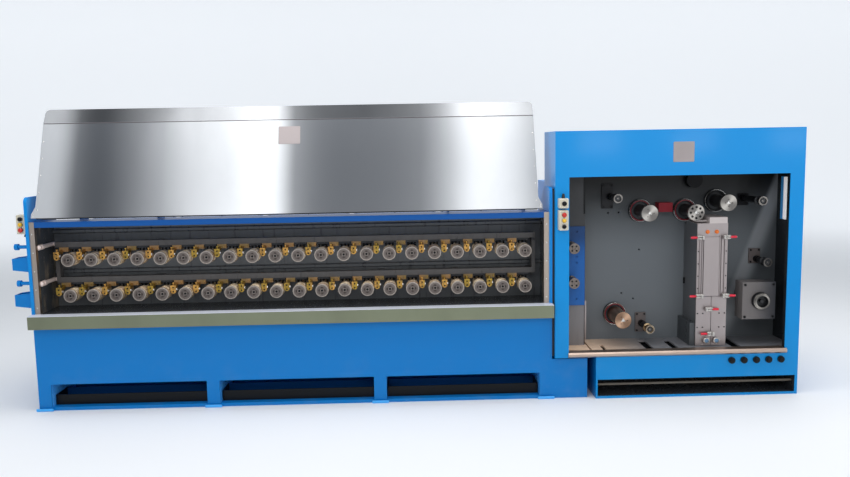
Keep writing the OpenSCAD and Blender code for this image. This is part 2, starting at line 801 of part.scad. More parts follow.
module drawoff_capstan(z) {
    y0 = 70;
    r = drawoff_r;
    back = housing_y - 12 - run_gap - y0;
    turned_y(cab(drawoff_x), y0, z, [[0, 8], [8, 8], [8, 0], [14, 0], [14, 6], [r - 10, 6],
        [r - 10, 0], [r - 2, 0], [r, 2], [r, 14], [r - 6, 20], [r - 6, 96], [r, 102], [r, 120],
        [r - 18, 126], [r - 18, back], [hub_r, back], [hub_r, housing_y + 58 - y0],
        [0, housing_y + 58 - y0]]);
}
module drawoff_capstan_upper() {
    color("#b9b6b0") place() drawoff_capstan(drawoff_at[0]);
}
module drawoff_capstan_lower() {
    color("#b9b6b0") place() drawoff_capstan(drawoff_at[1]);
}

// Fixed rings, roller brackets, the top bushing and the red contact block
module wheel_mounts() {
    color("#2a2c30") place() {
        for (p = wheel_at) difference() {
            rod_y(cab(p[0]), plate_y - 30, plate_y, p[1], ring_r);
            rod_y(cab(p[0]), plate_y - 31, plate_y + 1, p[1], wheel_r + run_gap);
        }
        for (i = [0 : 3]) {
            g = guide_at[i];
            e = guide_plate[i];
            difference() {
                union() {
                    box(cab(g[0] + e[0]), cab(g[0] + e[1]), plate_y - 14, plate_y, g[1] + e[2],
                        g[1] + e[3]);
                    rod_y(cab(g[0]), plate_y - 60, plate_y - 13, g[1], 26);
                }
                rod_y(cab(g[0]), plate_y - 61, plate_y + 1, g[1], 10 + shaft_gap);
            }
        }
        rod_y(cab(bushing[0]), plate_y - 60, plate_y, bushing[1], bushing[2]);
        box(cab(contact_block[0]), cab(contact_block[1]), plate_y - 90, plate_y,
            contact_block[2], contact_block[3]);
    }
}

// Contact wheel: a disc with a turned face and its holes, a drum behind, and the shaft
module contact_wheel(i) {
    p = wheel_at[i];
    r = wheel_r;
    d = wheel_drum_r[i];
    h = wheel_holes[i];
    root = plate_y - 24 - wheel_face_y;
    reach = plate_y + 28 - wheel_face_y;
    difference() {
        turned_y(cab(p[0]), wheel_face_y, p[1], [[0, 5], [10, 5], [10, 0], [r - 2, 0], [r, 2],
            [r, 26], [r - 2, 28], [d, 28], [d, root], [20, root], [20, reach], [0, reach]]);
        for (k = [0 : h[0] - 1])
            rod_y(cab(p[0]) + h[1] * cos(k * 360 / h[0]), wheel_face_y - 1, wheel_face_y + 14,
                p[1] + h[1] * sin(k * 360 / h[0]), h[2]);
    }
}
module contact_wheel_1() {
    color("#c9c7c2") place() contact_wheel(0);
}
module contact_wheel_2() {
    color("#c9c7c2") place() contact_wheel(1);
}
module contact_wheel_3() {
    color("#c9c7c2") place() contact_wheel(2);
}
module contact_wheel_4() {
    color("#c9c7c2") place() contact_wheel(3);
}

// Guide roller on its long shaft
module guide_roller(g) {
    r = roller_r;
    turned_y(cab(g[0]), g[2], g[1], [[0, 12], [8, 12], [8, 4], [14, 4], [14, 12], [24, 12],
        [24, 0], [r, 0], [r, 8], [r - 8, 16], [r - 8, 60], [r, 68], [r, 76], [18, 80],
        [18, plate_y - 60 - run_gap - g[2]], [10, plate_y - 60 - run_gap - g[2]],
        [10, plate_y + 28 - g[2]], [0, plate_y + 28 - g[2]]]);
}
module guide_roller_1() {
    color("#55585c") place() guide_roller(guide_at[0]);
}
module guide_roller_2() {
    color("#55585c") place() guide_roller(guide_at[1]);
}
module guide_roller_3() {
    color("#55585c") place() guide_roller(guide_at[2]);
}
module guide_roller_4() {
    color("#55585c") place() guide_roller(guide_at[3]);
}

// Annealing tube housing with its covers, doors and toggle clamps
module tube_housing() {
    color("#7b7e82") place() {
        top = tube_z + tube_h;
        box(cab(tube_x), cab(tube_x + tube_w), tube_y + 14, plate_y, tube_z, top - 25);
        box(cab(tube_x), cab(tube_x + tube_w), tube_y + 14, plate_y - 40, top - 26, top);
        along_x(cab(tube_x + tube_step), cab(tube_x + tube_w - 5)) polygon([
            [tube_y + 14, top - 1], [plate_y - 41, top - 1], [plate_y - 41, top + 44],
            [tube_y + 2, top + 44], [tube_y + 2, top], [tube_y + 14, top]]);
        box(cab(tube_x + 4), cab(tube_x + tube_step + 1), tube_y + 50, tube_y + 110, top + 9,
            top + 21);
    }
}
module toggle(x, z, way) {
    box(cab(x) - 22, cab(x) + 22, tube_y - 26, tube_y + 3, z - 12, z + 12);
    rod_x(cab(x) + (way < 0 ? -75 : 20), cab(x) + (way < 0 ? -20 : 75), tube_y - 20, z, 7);
}
module tube_covers() {
    xm = tube_x + tube_w / 2;
    z_door = tube_z + door_h;
    color("#c3c6ca") place() {
        box(cab(tube_x), cab(tube_x + tube_w), tube_y + 2, tube_y + 14, z_door + 3, tube_z + tube_h);
        box(cab(tube_x + 46), cab(tube_x + tube_w - 66), tube_y - 12, tube_y + 3,
            z_door + 6, tube_z + tube_h - 100);
        box(cab(tube_x), cab(xm) - 2, tube_y, tube_y + 14, tube_z, z_door);
        box(cab(xm) + 2, cab(tube_x + tube_w), tube_y, tube_y + 14, tube_z, z_door);
        for (z = [z_door + 444, z_door + 8]) {
            toggle(tube_x + 16, z, -1);
            toggle(tube_x + tube_w - 16, z, 1);
        }
        toggle(xm - 24, z_door - 92, 1);
        toggle(xm - 8, tube_z + 93, -1);
        for (x = [-37, 37]) rod_y(cab(xm + x), tube_y - 24, tube_y + 1, tube_z + 42, 23);
    }
}
module side_box() {
    color("#3a3d40") place()
        box(cab(tube_x - 38), cab(tube_x), tube_y + 15, plate_y, floor_z, floor_z + 174);
}

// Square roller block, its hub behind, and the hollow roller that turns in it
module roller_block() {
    xs = cab(spindle_x);
    color("#6a6c70") place() difference() {
        union() {
            box(cab(block_x), cab(block_x + block_w), block_y, block_y + block_d,
                block_z, block_z + block_h);
            rod_y(xs, block_y + block_d - 1, plate_y, spindle_z, 70);
        }
        rod_y(xs, block_y - 1, block_y + 90, spindle_z, 30 + shaft_gap);
        rod_y(xs, block_y - 1, block_y + 12, spindle_z, 60 + run_gap);
    }
}
module block_roller() {
    color("#8e9094") place() turned_y(cab(spindle_x), block_y - 46, spindle_z, [
        [0, 12], [12, 12], [14, 14], [14, 40], [43, 40], [43, 0], [54, 0], [56, 2], [56, 10],
        [60, 12], [60, 52], [30, 52], [30, 134], [0, 134]]);
}

// Drive housing behind the annealer's back plate
module drive_housing() {
    color("#1f7fc8") place()
        box(cab_x0 + 60, cab_x1 - 60, cab_d, drive_back, 0, drive_h);
}

draw_base();
base_feet();
base_troughs();
drip_ledge();
end_plates();
jamb_strips();
chamber_back();
chamber_roof();
spray_headers();
die_holders();
drawing_capstans();
supply_pipes();
wire_inlets();
push_stations();
hood_stands();
hood_arms();
hood();
hood_lugs();
gear_housing();
service_covers();
cabinet_shell();
cabinet_base();
air_fittings();
annealer_back_plate();
annealer_floor();
window_lip();
drawoff_housing();
drawoff_plate();
drawoff_capstan_upper();
drawoff_capstan_lower();
wheel_mounts();
contact_wheel_1();
contact_wheel_2();
contact_wheel_3();
contact_wheel_4();
guide_roller_1();
guide_roller_2();
guide_roller_3();
guide_roller_4();
tube_housing();
tube_covers();
side_box();
roller_block();
block_roller();
drive_housing();
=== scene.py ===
# %% [markdown]
# A wire drawing machine, dressed over its CAD frame.
#
# The machine draws many copper wires at once: they run over two rows of grooved capstans, through
# a die before each, and on into the annealer cabinet at the right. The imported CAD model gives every
# piece its real place and size. This lesson adds finishes, fasteners, nozzles, buttons and seams.

# %% Load the frame
import json

import bpy
import numpy as np
from mathutils import Matrix, Vector


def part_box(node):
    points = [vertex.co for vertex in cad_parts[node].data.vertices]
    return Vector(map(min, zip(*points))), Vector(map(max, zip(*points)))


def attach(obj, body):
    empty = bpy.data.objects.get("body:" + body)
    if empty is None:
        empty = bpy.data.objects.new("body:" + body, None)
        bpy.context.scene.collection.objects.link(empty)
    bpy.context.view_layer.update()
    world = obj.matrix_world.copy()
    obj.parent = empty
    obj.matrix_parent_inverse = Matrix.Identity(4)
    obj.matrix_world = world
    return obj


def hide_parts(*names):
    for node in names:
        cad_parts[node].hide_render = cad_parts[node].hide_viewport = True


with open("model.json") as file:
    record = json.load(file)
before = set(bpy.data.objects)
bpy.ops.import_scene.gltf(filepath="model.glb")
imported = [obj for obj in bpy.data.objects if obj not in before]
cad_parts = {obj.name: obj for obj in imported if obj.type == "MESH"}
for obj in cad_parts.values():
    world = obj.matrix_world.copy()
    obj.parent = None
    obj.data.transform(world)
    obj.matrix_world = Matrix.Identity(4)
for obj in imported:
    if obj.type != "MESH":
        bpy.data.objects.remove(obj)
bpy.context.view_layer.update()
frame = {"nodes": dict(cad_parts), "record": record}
nodes = frame["nodes"]
MM = 0.001

# %% [markdown]
# The camera stands where the photographer stood. Its height, distance and turn were worked out from
# the machine's own long straight edges, so the render can be laid over the photograph. Three turns
# make its matrix: a lean about the line of sight, a tilt up from looking straight down that stops
# short of the horizon, and a turn to the right.

# %% Camera
LENS = 33.46
PLACE = (0.0025, -6.133, 1.870)
DOWN, RIGHT, LEAN = np.radians([6.744, 1.266, -1.052])
camera = bpy.data.objects.new("camera", bpy.data.cameras.new("camera"))
camera.data.lens = LENS
camera.data.sensor_width = 36
turn = Matrix.Rotation(-RIGHT, 4, "Z") @ Matrix.Rotation(np.pi / 2 - DOWN, 4, "X")
camera.matrix_world = Matrix.Translation(PLACE) @ turn @ Matrix.Rotation(LEAN, 4, "Z")
bpy.context.scene.collection.objects.link(camera)
bpy.context.scene.camera = camera
bpy.context.scene.view_settings.view_transform = "Standard"
print("camera at", PLACE)

# %% [markdown]
# The places below start from the CAD nodes' own boxes, in millimetres, so that the dressing moves
# when the model does. `cab` and `draw` turn a place in either machine into the shared frame.

# %% Datums from the frame
def millimetres(node):
    """The low and the high corner of a node's box."""
    return [np.array(corner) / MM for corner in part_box(node)]


def face_centre(node):
    """The middle of a node's front face."""
    low, high = millimetres(node)
    return np.array([(low[0] + high[0]) / 2, low[1], (low[2] + high[2]) / 2])


CAB_LOW, CAB_HIGH = millimetres("cabinet_shell")
DRAW_LOW, DRAW_HIGH = millimetres("draw_base")
PLATE_LOW, PLATE_HIGH = millimetres("end_plates")
DRAW_LEN = PLATE_HIGH[0] - DRAW_LOW[0]
FRONT_Y = CAB_LOW[1]


def cab(x, y, z, left=CAB_LOW[0]):
    """A place in the cabinet: across from its left side, back from its front, up from the floor."""
    return np.stack(np.broadcast_arrays(left + x, FRONT_Y + y, z), -1).astype(float)


def draw(x, y, z):
    """The same in the drawing machine, across from its left end."""
    return cab(x, y, z, DRAW_LOW[0])


CAP_LOW, CAP_HIGH = millimetres("drawing_capstans")
ROW_N = 21
CAP_D = 98.0
PITCH = (CAP_HIGH[0] - CAP_LOW[0] - CAP_D) / (ROW_N - 1)
CAP_X0 = CAP_LOW[0] + CAP_D / 2 - DRAW_LOW[0]
ROWS_Z = np.array([CAP_HIGH[2] - CAP_D / 2, CAP_LOW[2] + CAP_D / 2])
ROW_RISE = ROWS_Z[0] - ROWS_Z[1]
WHEELS = [face_centre(f"contact_wheel_{i}") for i in range(1, 5)]
GUIDES = [face_centre(f"guide_roller_{i}") for i in range(1, 5)]
ROOM_BACK = millimetres("wheel_mounts")[1][1]
PLATE_FACE = ROOM_BACK - 14
print("cabinet", (CAB_HIGH - CAB_LOW).round(1), "capstan pitch", PITCH.round(2))

# %% [markdown]
# Shader maths reads best as plain expressions. `Wire` holds one output of a node, and Python's own
# operators on it add the Math nodes. `Finish` is a material being written: `add` makes any node
# from its type, its settings and what goes into its sockets. A colour is given as a web colour.

# %% Shader helper
def shaded(code, share=1.0):
    """A web colour such as "#2a92dc" as linear red, green and blue, each times the share."""
    v = np.array([int(code[i:i + 2], 16) for i in (1, 3, 5)]) / 255
    return tuple(share * np.where(v <= 0.04045, v / 12.92, ((v + 0.055) / 1.055) ** 2.4))


def plug(tree, socket, value):
    """Joins a wire to a socket, or sets the socket to a web colour, a colour or a number."""
    if isinstance(value, str):
        value = shaded(value)
    if isinstance(value, Wire):
        tree.links.new(value.socket, socket)
    elif socket.type == "RGBA":
        socket.default_value = (*value, 1)
    else:
        socket.default_value = value


def operator(name, swapped=False):
    """The method behind an operator: a Math node on both values, swapped in a reflected form."""
    return lambda self, other: self.math(name, *((other, self) if swapped else (self, other)))


class Wire:
    """One output socket. An operator on it, from either side, returns the output of a new Math node."""

    def __init__(self, finish, socket):
        self.finish = finish
        self.socket = socket

    def math(self, operation, *values):
        return self.finish.add("Math", {"operation": operation}, dict(enumerate(values)))

    __add__ = __radd__ = operator("ADD")
    __mul__ = __rmul__ = operator("MULTIPLY")
    __sub__ = operator("SUBTRACT")
    __rsub__ = operator("SUBTRACT", True)
    __truediv__ = operator("DIVIDE")
    __rtruediv__ = operator("DIVIDE", True)
    __gt__ = operator("GREATER_THAN")
    __lt__ = operator("LESS_THAN")

    def wrap(self, half):
        """The value carried back into the range from -half to half, over and over."""
        return self.math("WRAP", self, half, -half)

    def root(self):
        return self.math("SQRT", self)

    def step(self, low, high):
        """0 below low, 1 above high, and a smooth S between them."""
        sockets = {"Value": self, "From Min": low, "From Max": high}
        return self.finish.add("MapRange", {"interpolation_type": "SMOOTHSTEP"}, sockets)


class Finish:
    """A material with one Principled shader, under the name that is given."""

    def __init__(self, name, **constants):
        self.material = bpy.data.materials.new(name)
        self.material.use_nodes = True
        self.tree = self.material.node_tree
        self.shader = self.tree.nodes["Principled BSDF"]
        for key, value in constants.items():
            self.set(key.replace("_", " ").title().replace("Ior", "IOR"), value)

    def add(self, kind, settings=None, sockets=None, out=0):
        """Adds a node: its settings first, a ramp's stops among them, then its sockets."""
        node = self.tree.nodes.new("ShaderNode" + kind)
        for key, value in (settings or {}).items():
            if key == "stops":
                self.lay_stops(node.color_ramp, value)
            else:
                setattr(node, key, value)
        for key, value in (sockets or {}).items():
            plug(self.tree, node.inputs[key], value)
        return Wire(self, node.outputs[out])

    def lay_stops(self, ramp, stops):
        """A smooth ramp of greys: each stop is a place from 0 to 1 and a brightness."""
        ramp.interpolation = "B_SPLINE"
        while len(ramp.elements) < len(stops):
            ramp.elements.new(0.5)
        for mark, (place, grey) in zip(ramp.elements, stops):
            mark.position = place
            mark.color = (grey, grey, grey, 1)

    def place(self, stretch=(1, 1, 1)):
        """Object coordinates in metres, each axis multiplied by its stretch."""
        here = self.add("TexCoord", out="Object")
        return self.add("Mapping", sockets={"Vector": here, "Scale": stretch})

    def axis(self, letter):
        here = self.add("TexCoord", out="Object")
        return self.add("SeparateXYZ", sockets={0: here}, out=letter)

    def noise(self, scale, detail=3.0, stretch=(1, 1, 1), rough=0.5):
        sockets = {"Vector": self.place(stretch), "Scale": scale, "Detail": detail, "Roughness": rough}
        return self.add("TexNoise", sockets=sockets)

    def within(self, low, high):
        """1 inside a box of the shared frame, whose corners are in millimetres, and 0 outside it."""
        mask = 1.0
        for letter, a, b in zip("XYZ", low, high):
            here = self.axis(letter)
            mask = (here > float(a * MM)) * (here < float(b * MM)) * mask
        return mask

    def mix(self, mask, first, second):
        """The first colour where the mask is 0, and the second where it is 1."""
        return self.add("Mix", {"data_type": "RGBA"}, {0: mask, 6: first, 7: second}, out=2)

    def set(self, name, value):
        plug(self.tree, self.shader.inputs[name], value)
        return self

    def bump(self, height, distance, strength=1.0):
        sockets = {"Height": height, "Distance": distance, "Strength": strength}
        return self.set("Normal", self.add("Bump", sockets=sockets))


print("a mid grey in linear light:", round(float(shaded("#808080")[0]), 3))

# %% [markdown]
# The blue enamel is sprayed on sheet steel. Such paint has a faint orange-peel skin under a clear
# gloss, a film of dust that settles low down, and small scuffs. Dust and scuffs move colour and
# gloss together, because dirt is duller than paint. The enamel also gets a little darker towards the
# floor, a painted shade. The insides of the end plates are dark grey, with a brownish mottle painted
# for their reflections. The inside of the cabinet and the recess under it are painted dark grey for
# the shade in them, and the inner sides of the feet a light blue for the light they catch from the
# floor. They could be pieces of their own, but a mask over their box keeps each sheet whole.

# %% Blue enamels
def enamel(name, colour, dusty=0.10, gloss=0.3, inner=(), mottle_share=0.0):
    f = Finish(name, coat_weight=0.06, coat_roughness=0.1, specular_ior_level=0.22)
    low = 1 - f.axis("Z").step(0.02, 0.45)
    dust = f.noise(7, 5).step(0.45, 0.8) * (low * 0.9 + 0.06) * dusty
    scuff = f.noise(42, 6, (1, 1, 0.4), 0.65).step(0.68, 0.74) * low * 0.25
    # Painted shade: the enamel is a tenth darker towards the floor.
    shade = f.mix(f.axis("Z").step(0.0, 1.2), shaded(colour, 0.90), colour)
    painted = f.mix(scuff, f.mix(dust, shade, "#8c9aa3"), "#a9c3d6")
    rough = gloss + dust * 0.5 + f.noise(60, 3) * 0.05
    # Painted reflection: where a share is given, the inner marks get a brownish mottle for the reflections on
    # the end plates' inner faces.
    smears = f.noise(11, 4, (1, 1, 0.35)).step(0.5, 0.72) * mottle_share
    for low_corner, high_corner, code in inner:
        mask = f.within(low_corner, high_corner)
        painted = f.mix(mask, painted, f.mix(smears, code, "#a8957c"))
        rough = rough - mask * 0.06
    f.set("Base Color", painted)
    f.set("Roughness", rough)
    return f.bump(f.noise(420, 2), 0.0003, 0.2).material


PLATE_T = 22.0
BEAM_TOP = millimetres("chamber_roof")[1][2]
BASE_LOW, BASE_HIGH = millimetres("cabinet_base")
FEET_LOW, FEET_HIGH = millimetres("base_feet")
chamber_low = (PLATE_LOW[0] + PLATE_T - 0.5, PLATE_LOW[1] + 14, DRAW_HIGH[2] - 0.5)
chamber_high = (PLATE_HIGH[0] - PLATE_T + 0.5, PLATE_HIGH[1] - 1, BEAM_TOP)
# Painted shade: the inside of the cabinet is painted dark grey for the shade that fills it.
cabinet = (CAB_LOW + 5.5, CAB_HIGH - 5.5, "#1e2226")
# Painted shade: the recess under the cabinet is painted dark grey for the shade in it.
cabinet_recess_shade = (BASE_LOW + (12, -1, 17), (BASE_HIGH[0] - 19, BASE_HIGH[1] - 59, 143.0), "#33363a")
# Painted light: the inner sides of the feet are a lighter blue for the light they catch from the floor.
lit_feet_sides = (FEET_LOW + (80, 24, -1), FEET_HIGH - (350, 1, 1), "#4fb0ff")
BLUE = enamel("azure_enamel", "#007ac6", inner=[cabinet_recess_shade, lit_feet_sides])
BLUE_BASE = enamel("azure_base", "#007ac6", inner=[(chamber_low, chamber_high, "#3c3f42")])
# The end plates' insides carry the painted reflection mottle.
BLUE_PLATES = enamel("azure_end_plates", "#0084d0", inner=[(chamber_low, chamber_high, "#4d5053")],
                     mottle_share=0.6)
BLUE_CABINET = enamel("azure_cabinet", "#0089d0", 0.06, 0.26, [cabinet])
# Painted light: a lighter copy of the blue for the sole plates and the lamp bracket, which catch more light.
BLUE_LIT = enamel("lit_azure_enamel", "#4cb4ff")
BLUE_DEEP = enamel("deep_azure_enamel", "#08519a", 0.1, 0.34)
print("enamels:", [m.name for m in bpy.data.materials])

# %% [markdown]
# The frames inside are satin grey or black and wet with drawing fluid, which runs down in streaks.
# Some faces fall off into the dark. Lamps could do that, but they would light the rest too, so
# those paints carry the falling tone.

# %% Grey and black paints
def grey_paint(name, colour, gloss=0.42, stain=0.3, marks=(), mirror=0.5):
    """Satin machine paint, with a film of drawing fluid that runs down in soft streaks. Each mark is
    a box with its own colour, for a part that differs from the rest of its node."""
    f = Finish(name, specular_ior_level=mirror)
    runs = f.noise(9, 5, (3, 3, 0.35)).step(0.45, 0.75) * stain
    painted = f.mix(runs, colour, shaded(colour, 0.5))
    for low_corner, high_corner, code in marks:
        painted = f.mix(f.within(low_corner, high_corner), painted, code)
    f.set("Base Color", painted)
    f.set("Roughness", gloss - runs * 0.3 + f.noise(90, 2) * 0.05)
    return f.bump(f.noise(300, 2), 0.0004, 0.3).material


def graded(name, letter, start, end, tones, gloss=0.42):
    """Paint whose tone runs from one colour to another along an axis, as the light falls off."""
    f = Finish(name, specular_ior_level=0.35)
    along = f.axis(letter).step(float(start * MM), float(end * MM))
    mottle_share = f.noise(9, 5, (3, 3, 0.5)).step(0.45, 0.8) * 0.15
    f.set("Base Color", f.mix(mottle_share, f.mix(along, *tones), shaded(tones[0], 0.4)))
    f.set("Roughness", gloss + f.noise(80, 3) * 0.08)
    return f.bump(f.noise(300, 2), 0.0004, 0.3).material


SHEEN_X = 1156


def annealer_paint(name):
    """The annealer's plate gets darker towards the top, where no light falls in, and carries one
    slanted sheen: a stripe in the coordinate x - 0.38 z, soft at both edges."""
    f = Finish(name, specular_ior_level=0.3)
    base = f.mix(f.axis("Z").step(1.0, 1.62), "#686d71", "#0c0d0f")
    across = f.axis("X") - f.axis("Z") * 0.38
    start = float((CAB_LOW[0] + SHEEN_X) * MM)
    sheen = across.step(start - 0.02, start + 0.03) * (1 - across.step(start + 0.07, start + 0.16))
    # Painted shade: beyond the sheen the plate is painted darker.
    beyond = across.step(start + 0.08, start + 0.2)
    toned = f.mix(beyond * 0.4, base, "#1c1e20")
    f.set("Base Color", f.mix(sheen * 0.7, toned, "#94979a"))
    f.set("Roughness", 0.4 + f.noise(60, 3) * 0.08)
    return f.bump(f.noise(260, 2), 0.0004, 0.3).material


GUIDE_PLATES = [(-61, 24, -90, 96), (-37, 43, -56, 35), (-56, 31, -35, 80), (-46, 34, -69, 82)]


def guide_plate(guide, code):
    """The box of a guide's plate, whose left, right, low and high edges are given from its axis."""
    x, _, z = GUIDES[guide - 1]
    left, right, low, high = GUIDE_PLATES[guide - 1]
    return (x + left - 1, PLATE_FACE - 2, z + low - 1), (x + right + 1, ROOM_BACK + 1, z + high + 1), code


BLOCK_LOW, BLOCK_HIGH = millimetres("roller_block")
TUBE_LOW, TUBE_HIGH = millimetres("tube_housing")
HEAD_LOW, HEAD_HIGH = millimetres("spray_headers")
TROUGH_LOW, TROUGH_HIGH = millimetres("base_troughs")
BAR_H = 16
contact_block = (cab(836, 300, 1330), cab(952, 398, 1412), "#7a1c26")
tube_bracket = ((TUBE_LOW[0] - 1, TUBE_LOW[1] - 20, TUBE_HIGH[2] - 44.5), TUBE_HIGH + 1, "#c0b6b3")
recess_rail = ((BASE_LOW[0], FRONT_Y, 70.0), (BASE_HIGH[0], FRONT_Y + 90, 110.0), "#6b655c")
trough_backs = ((TROUGH_LOW[0], TROUGH_HIGH[1] - 8, 30.0), TROUGH_HIGH + 1, "#0a467f")
nozzle_bars = [((*(HEAD_LOW[:2] - 1), z - 1), (*(HEAD_HIGH[:2] + 1), z + BAR_H + 1), "#16181f")
               for z in (HEAD_LOW[2], HEAD_LOW[2] + ROW_RISE)]
mount_marks = [contact_block, guide_plate(3, "#6a6260"), guide_plate(4, "#6a6260"), guide_plate(1, "#2a2a2c")]
GREY = grey_paint("satin_grey", "#55575a", 0.4, 0.15, [tube_bracket])
GREY_HOUSING = graded("housing_grey", "Z", 700, 1350, ("#7f7c7d", "#38393b"))
GREY_FLOOR = graded("floor_grey", "X", CAB_LOW[0] + 150, CAB_LOW[0] + 800, ("#ffdcbc", "#74757a"), 0.3)
GREY_BLOCK = graded("block_grey", "X", BLOCK_LOW[0] + 60, BLOCK_HIGH[0], ("#6a6564", "#34353a"))
BLUE_DRAW = graded("draw_plate_blue", "Z", 1000, 1200, ("#0a5ca8", "#003a70"), 0.36)
GREY_DARK = grey_paint("wet_dark_grey", "#3c4043", 0.34, 0.5)
GREY_BACK = grey_paint("chamber_grey", "#66696c", 0.34, 0.5)
GREY_HEADER = grey_paint("header_grey", "#524f4e", 0.34, 0.4, nozzle_bars)
GREY_MOUNTS = grey_paint("mount_grey", "#0d0e11", 0.4, 0.3, mount_marks, 0.15)
BLACK = grey_paint("black_oily", "#0c0e11", 0.34, 0.3, [recess_rail, trough_backs], 0.2)
print(BLACK.name, "has", len(BLACK.node_tree.nodes), "nodes")

# %% [markdown]
# The hood is brushed stainless sheet. Its brush lines run up and down, and wiping cloths leave
# cloudy smears, so two noises are used: one pulled out long along Z for the lines, one wide for the
# clouds. Other metals use the same recipe with other directions. The hood mirrors a hall that isn't
# modelled, so what it mirrors is a ramp along its length.

# %% Sheet metals
def metal(name, colour, rough, brush=(1, 1, 1), depth=0.00003, cloud=0.25, dark=0.6, metallic=1.0,
          highlight_from=None):
    """Brushed or ground metal. Above the given height the sheet is painted pale, a painted highlight
    along a lit edge, and it is far less of a mirror there."""
    f = Finish(name)
    lines = f.noise(1.0, 4, brush)
    smear = f.noise(3.2, 5, (1, 1, 0.45)).step(0.35, 0.75)
    tone = f.mix(smear * cloud, colour, shaded(colour, dark))
    # Painted highlight: above the given height the sheet is pale and mostly not metallic.
    if highlight_from:
        over = f.axis("Z") > float(highlight_from * MM)
        tone = f.mix(over, tone, "#d4d8e2")
        metallic = metallic - over * 0.9
    f.set("Base Color", tone)
    f.set("Metallic", metallic)
    f.set("Roughness", rough + lines * 0.14 + smear * 0.10 - 0.07)
    return f.bump(lines, depth, 0.4).material


HOOD_LOW, HOOD_HIGH = millimetres("hood")
HOOD_EDGE_Z = 1407
HOOD_FACE = 717
HOOD_LEAN = np.radians(20.5)


def hood_sheet(name):
    """Brushed sheet smears what it mirrors into soft upright bands. The bands are a ramp along X,
    from the hood's left end to its right one. The strip over the fold mirrors a darker part."""
    f = Finish(name, metallic=1.0)
    start, length = float(HOOD_LOW[0] * MM), float((HOOD_HIGH[0] - HOOD_LOW[0]) * MM)
    sway = (f.noise(1.3, 2, (1, 1, 0.3)) - 0.5) * 0.03
    along = (f.axis("X") - start) / length + sway
    stops = [(0.0, 0.66), (0.045, 0.66), (0.08, 0.0), (0.16, 0.02), (0.25, 0.34), (0.30, 0.54),
             (0.38, 0.70), (0.43, 0.92), (0.475, 0.92), (0.51, 0.07), (0.62, 0.05), (0.76, 0.10),
             (0.82, 0.42), (0.87, 0.98), (0.94, 0.9), (1.0, 0.4)]
    bands = f.add("ValToRGB", {"stops": stops}, {0: along})
    lines = f.noise(1.0, 4, (900, 900, 9))
    smear = f.noise(2.4, 5, (1, 1, 0.35)).step(0.35, 0.75)
    strip = f.axis("Z") > float((HOOD_EDGE_Z + HOOD_FACE * np.cos(HOOD_LEAN)) * MM)
    lit = bands * (1 - smear * 0.14)
    sheet = f.mix(lit, "#4a4d52", "#f4f6f8")
    f.set("Base Color", f.mix(strip * 0.72, sheet, f.mix(lit, "#000000", "#b0b2b5")))
    f.set("Roughness", 0.34 + lines * 0.12 + smear * 0.08)
    return f.bump(lines, 0.00003, 0.35).material


LEDGE_TOP = millimetres("drip_ledge")[1][2]
STAINLESS = metal("brushed_stainless", "#d6d4d2", 0.30, (900, 900, 9), cloud=0.35)
HOOD_STEEL = hood_sheet("banded_stainless")
# The folded ledge carries a painted highlight along its top edge.
STEEL_FOLD = metal("folded_stainless", "#858a74", 0.34, (9, 900, 900), cloud=0.4, dark=0.72,
                   highlight_from=LEDGE_TOP - 3)
CREAM_STEEL = metal("lip_stainless", "#bba698", 0.34, (9, 900, 900), cloud=0.2)
JAMB_STEEL = metal("jamb_stainless", "#b3a69b", 0.34, (900, 900, 9), cloud=0.3)
ALU = metal("milled_aluminium", "#a89f9e", 0.4, (12, 700, 700), cloud=0.25, dark=0.75)
ZINC = metal("galvanised_pipe", "#ecd9d0", 0.42, (60, 60, 60), 0.0001, 0.3, metallic=0.3)
print(HOOD_STEEL.name, "has", len(HOOD_STEEL.node_tree.nodes), "nodes")

# %% [markdown]
# A lathe leaves fine rings, so a turned face throws its light in two opposite sectors. An
# anisotropic shader would make them, but the export doesn't keep it, so they are worked out from
# the piece's own axis. The die blocks are cast, so their skin is grainy and tarnished.

# %% Turned and cast metals
def cast_brass(name):
    """The die blocks differ a little from one to the next, and the blocks behind them are duller."""
    f = Finish(name)
    tint = f.noise(1.0, 1, (9, 0.5, 4)).step(0.42, 0.6)
    grain = f.noise(160, 4)
    tarnish = f.noise(70, 3).step(0.42, 0.62) * 0.55
    front = f.mix(tarnish, f.mix(tint, "#d6a355", "#b4953f"), "#6b5436")
    behind = f.axis("Y") > float((HEAD_LOW[1] - 4) * MM)
    f.set("Base Color", f.mix(behind, front, f.mix(tint, "#a98458", "#93794c")))
    f.set("Metallic", 0.75 - behind * 0.5)
    f.set("Roughness", 0.32 + grain * 0.16)
    return f.bump(grain, 0.0002, 0.4).material


CAP_RIM, CAP_WEB, CAP_HUB = 0.0415, 0.0265, 0.0142
CAP_FACE_T = 13


